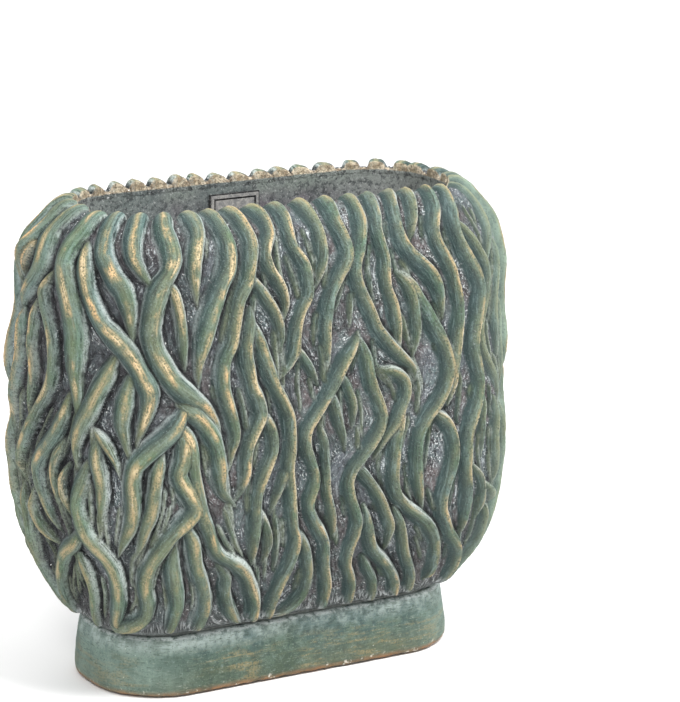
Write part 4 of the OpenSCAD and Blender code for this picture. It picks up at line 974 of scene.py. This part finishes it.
def build_body():
    """Floor, wall and rib: a closed section carried round, with the relief bedded on its outside."""
    rows = []                                       # kind, size, z, share of the map
    for t in np.r_[-2.0, 2.0, np.arange(8, 316, 7.0), 318.0, 320.5]:
        e, z = hermite(tk, PROFILE[:, 3], np.array(t)), hermite(tk, PROFILE[:, 4], np.array(t))
        de, dz = hermite(tk, PROFILE[:, 3], np.array(t + 1)) - e, hermite(tk, PROFILE[:, 4], np.array(t + 1)) - z
        ln = math.hypot(de, dz)
        rows.append(("ring", float(e + 1.5 * dz / ln), float(z - 1.5 * de / ln), 0.05))
    rows += [("ring", -3.6, 42.3, 0.3), ("ring", -4.4, 42.0, 0.6), ("ring", -8, 42, 1), ("rib", 31, 42, 1),
             ("rib", 28.5, 42, 0.3), ("rib", 28.1, 41.7, 0.6), ("rib", 28, 41, 0.8), ("rib", 28, 36.5, 0.8),
             ("rib", 28, 32.9, 0.3), ("rib", 27.75, 32.25, 0.3), ("rib", 27.1, 32, 0.8), ("rib", 25, 32, 0.8),
             ("rib", 22.9, 32, 0.3), ("rib", 22.25, 32.25, 0.3), ("rib", 22, 32.9, 0.8), ("rib", 22, 36.5, 0.8),
             ("rib", 22, 41, 0.3), ("rib", 21.6, 41.8, 0.3), ("rib", 20.8, 42, 1.5), ("hole", 24, 42, 0.8),
             ("hole", 14, 42, 0.3), ("hole", 11.6, 42, 0.2), ("hole", 11.1, 42.3, 0.3), ("hole", 11, 43, 0.8),
             ("hole", 11, 48, 0.8), ("hole", 11, 53.2, 0.2), ("hole", 11.2, 53.8, 0.2), ("hole", 11.8, 54, 0.4),
             ("hole", 14, 54, 0.4), ("hole", 16.5, 54, 0.2), ("hole", 16.9, 54.2, 0.2), ("hole", 17, 54.8, 0.3),
             ("hole", 17, 57, 0.2), ("hole", 17.3, 57.7, 0.2), ("hole", 18, 58, 0.5), ("hole", 22, 58, 0.6),
             ("hole", 27, 58, 1), ("ring", -22, 58, 1), ("ring", -16, 58, 1), ("ring", -10, 58, 1),
             ("ring", -6, 58, 0.6)]
    wall = np.r_[58.0, 58.7, 60, 62.5, 66, np.arange(71, 250, 5.5), np.arange(250, 317.5, 1.7), 318.6]
    for z in wall:
        e = float(hermite(CAVITY[:, 1], CAVITY[:, 0], np.array(z)))
        rows.append(("ring", e, float(z), 0.8 if z < 250 else 0.5))
    rows += [("ring", 0.42, 320.3, 0.3), ("ring", 0.38, 321.8, 0.3), ("ring", 0.45, 323.0, 0.2), ("ring", 0.9, 323.9, 0.2),
             ("ring", 1.7, 324.0, 0.2)]
    n = 480
    u = -HALF + np.arange(n) * (2 * HALF / n)
    out = []
    for kind, size, z, _ in rows:
        x, y = ring(u, size) if kind == "ring" else rrect(u, 85.5, 8, size)
        if kind == "hole":
            x, y = ring(u, -16)
            a = np.arctan2(y, x)
            x, y = size * np.cos(a), size * np.sin(a)
        elif kind == "ring" and size < 19 and z > 57.5 and (z > 58 or size < -5):
            # trowelled unevenness, kept off the top edge, the foot and the blank plate
            k = min(1.0, (317 - z) / 14) if z > 303 else 1.0
            w = 0.42 * vnoise(u / 26.25, np.full(n, z / 19), 61) + 0.18 * vnoise(u / 8.75, np.full(n, z / 7), 62)
            w = w * max(k, 0)
            if size < -5:
                z = z + w * 0.8
            else:
                nx_, ny_ = ring(u, size + w)
                x, y = nx_, ny_
        out.append(np.stack([x, y, np.broadcast_to(z, x.shape)], -1))
    ob = rows_mesh("pot_body", np.stack(out, 1) * 0.001, [r[3] for r in rows])
    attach(ob, "pot")
    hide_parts("body_shell")
    ob.data.materials.append(body_mat())
    return ob


# ------------------------------------------------------------------ plinth
PX, PY = 85.5, 8.0


def build_plinth():
    outer = [(28.6, 1.0), (36, 1.0), (42, 1.0), (46, 1.0), (49.2, 1.0), (50.4, 1.4), (51.0, 2.8),
             (51.2, 6), (51.1, 9), (50.8, 13), (49.9, 18), (49.3, 23), (48.6, 28), (47.9, 32.5),
             (47.3, 36), (46.8, 38.4), (45.9, 40.2), (44.5, 41.2), (42.7, 41.5), (40.9, 41.5), (40.3, 40.9), (40, 40.4),
             (36, 40.2), (31, 40.0), (28.6, 40.0)]
    k = np.array(outer)
    L = np.r_[0, np.cumsum(np.hypot(*np.diff(k, axis=0).T))]
    n = int(L[-1] / 1.1)
    s = np.linspace(0, L[-1], n)
    r = np.interp(s, L, k[:, 0])
    z = np.interp(s, L, k[:, 1])
    for _ in range(4):                      # round the polyline off
        r[1:-1] = (r[:-2] + 2 * r[1:-1] + r[2:]) / 4
        z[1:-1] = (z[:-2] + 2 * z[1:-1] + z[2:]) / 4
    inner_z = np.linspace(40, 1, 14)[1:-1]
    r = np.r_[r, np.full(len(inner_z), 28.6)]
    z = np.r_[z, inner_z]
    nu = 640
    u = -HALF + np.arange(nu) * (2 * HALF / nu)
    U, R = np.meshgrid(u, r, indexing="ij")
    _, Zg = np.meshgrid(u, z, indexing="ij")
    show = np.clip((R - 40) / 6, 0, 1)
    a = U * 0.75
    wob = 0.55 * vnoise(a / 37, Zg / 30, 41) + 0.22 * vnoise(a / 9, Zg / 7, 42)
    wob += 0.10 * vnoise(a / 2.2, Zg / 0.9, 43) + 0.06 * vnoise(a / 1.1, Zg / 1.1, 44)
    low = np.clip(1 - (Zg - 1) / 7, 0, 1)
    chips = np.clip(vnoise(a / 5.0, Zg / 4.0, 45) - 0.35, 0, 1) * low * 1.6
    wob = wob * show - chips * show
    X_, Y_ = rrect(U, PX, PY, R + wob)
    Z_ = Zg + np.clip(vnoise(a / 6.0, Zg * 0 + 3, 46) - 0.1, 0, 1) * 0.5 * low * show
    # the rows run up the outside, so they are turned to run down it
    c = np.stack([X_, Y_, Z_], -1)[:, ::-1] * 0.001
    ob = rows_mesh("plinth_worn", c, [0.25 if v < 30 else 1.0 for v in r[::-1]])
    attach(ob, "pot")
    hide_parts("plinth")
    ob.data.materials.append(plinth_mat())
    return ob


build_body()
build_plinth()
# the mortar is given pale colours as painted light against the shade in its recess
dress("mortar_bed", stone("mortar", srgb(168, 174, 170), srgb(182, 188, 184), srgb(206, 210, 208), srgb(110, 114, 112), 0.9, 0.0012))
dress("name_plate", plate_mat())
dress("drain_bung", rubber("bung_rubber", srgb(34, 34, 34)))
for n_ in ("pad_front_left", "pad_front_right", "pad_back_left", "pad_back_right"):
    dress(n_, rubber("pad_rubber", srgb(46, 42, 40)))

# ------------------------------------------------------------------ stage
bpy.ops.mesh.primitive_plane_add(size=8, location=(0, 0, 0))
floor = bpy.context.object
floor.name = "floor"
fm = Mat("pale_floor")
fm.b.inputs["Base Color"].default_value = (0.88, 0.88, 0.88, 1)
fm.b.inputs["Roughness"].default_value = 0.9
floor.data.materials.append(fm.m)

world = bpy.context.scene.world or bpy.data.worlds.new("world")
bpy.context.scene.world = world
world.use_nodes = True
bg = world.node_tree.nodes["Background"]
bg.inputs[0].default_value = (1, 1, 1, 1)
bg.inputs[1].default_value = 0.68


def area(name, loc, target, size, power):
    l = bpy.data.lights.new(name, "AREA")
    l.shape = "SQUARE"
    l.size = size
    l.energy = power
    o = bpy.data.objects.new(name, l)
    bpy.context.scene.collection.objects.link(o)
    o.location = loc
    o.rotation_mode = "QUATERNION"
    o.rotation_quaternion = (Vector(target) - Vector(loc)).to_track_quat("-Z", "Y")


area("key", (0.35, -1.1, 2.0), (0, 0, 0.18), 0.7, 46)
area("fill", (-1.3, -1.2, 1.8), (0, 0, 0.2), 0.8, 26)
area("side", (1.7, -0.3, 0.7), (0, 0, 0.2), 0.8, 10)
area("top", (0, 0.4, 2.6), (0, 0.2, 0), 1.8, 14)
area("back", (1.4, 2.8, 2.4), (1.3, 2.3, 0), 2.6, 40)

# camera fitted to the photograph
az, el, roll = math.radians(-30.60), math.radians(14.07), math.radians(0.47)
D = 2.213
back = Vector((math.sin(az) * math.cos(el), -math.cos(az) * math.cos(el), math.sin(el)))
right = Vector((math.cos(az), math.sin(az), 0))
up = back.cross(right)
target = Vector((0.0012, 0, 0.150)) + right * 0.05135 + up * 0.06420
r2 = right * math.cos(roll) + up * math.sin(roll)
u2 = up * math.cos(roll) - right * math.sin(roll)
cam_data = bpy.data.cameras.new("camera")
cam_data.sensor_width = 36
cam_data.lens = 3209.8 * 36 / 702
cam_data.clip_start, cam_data.clip_end = 0.05, 50
cam = bpy.data.objects.new("camera", cam_data)
bpy.context.scene.collection.objects.link(cam)
cam.matrix_world = Matrix.Translation(target + back * D) @ Matrix((
    (r2.x, u2.x, back.x, 0), (r2.y, u2.y, back.y, 0), (r2.z, u2.z, back.z, 0), (0, 0, 0, 1)))
bpy.context.scene.camera = cam
bpy.context.scene.view_settings.view_transform = "Standard"
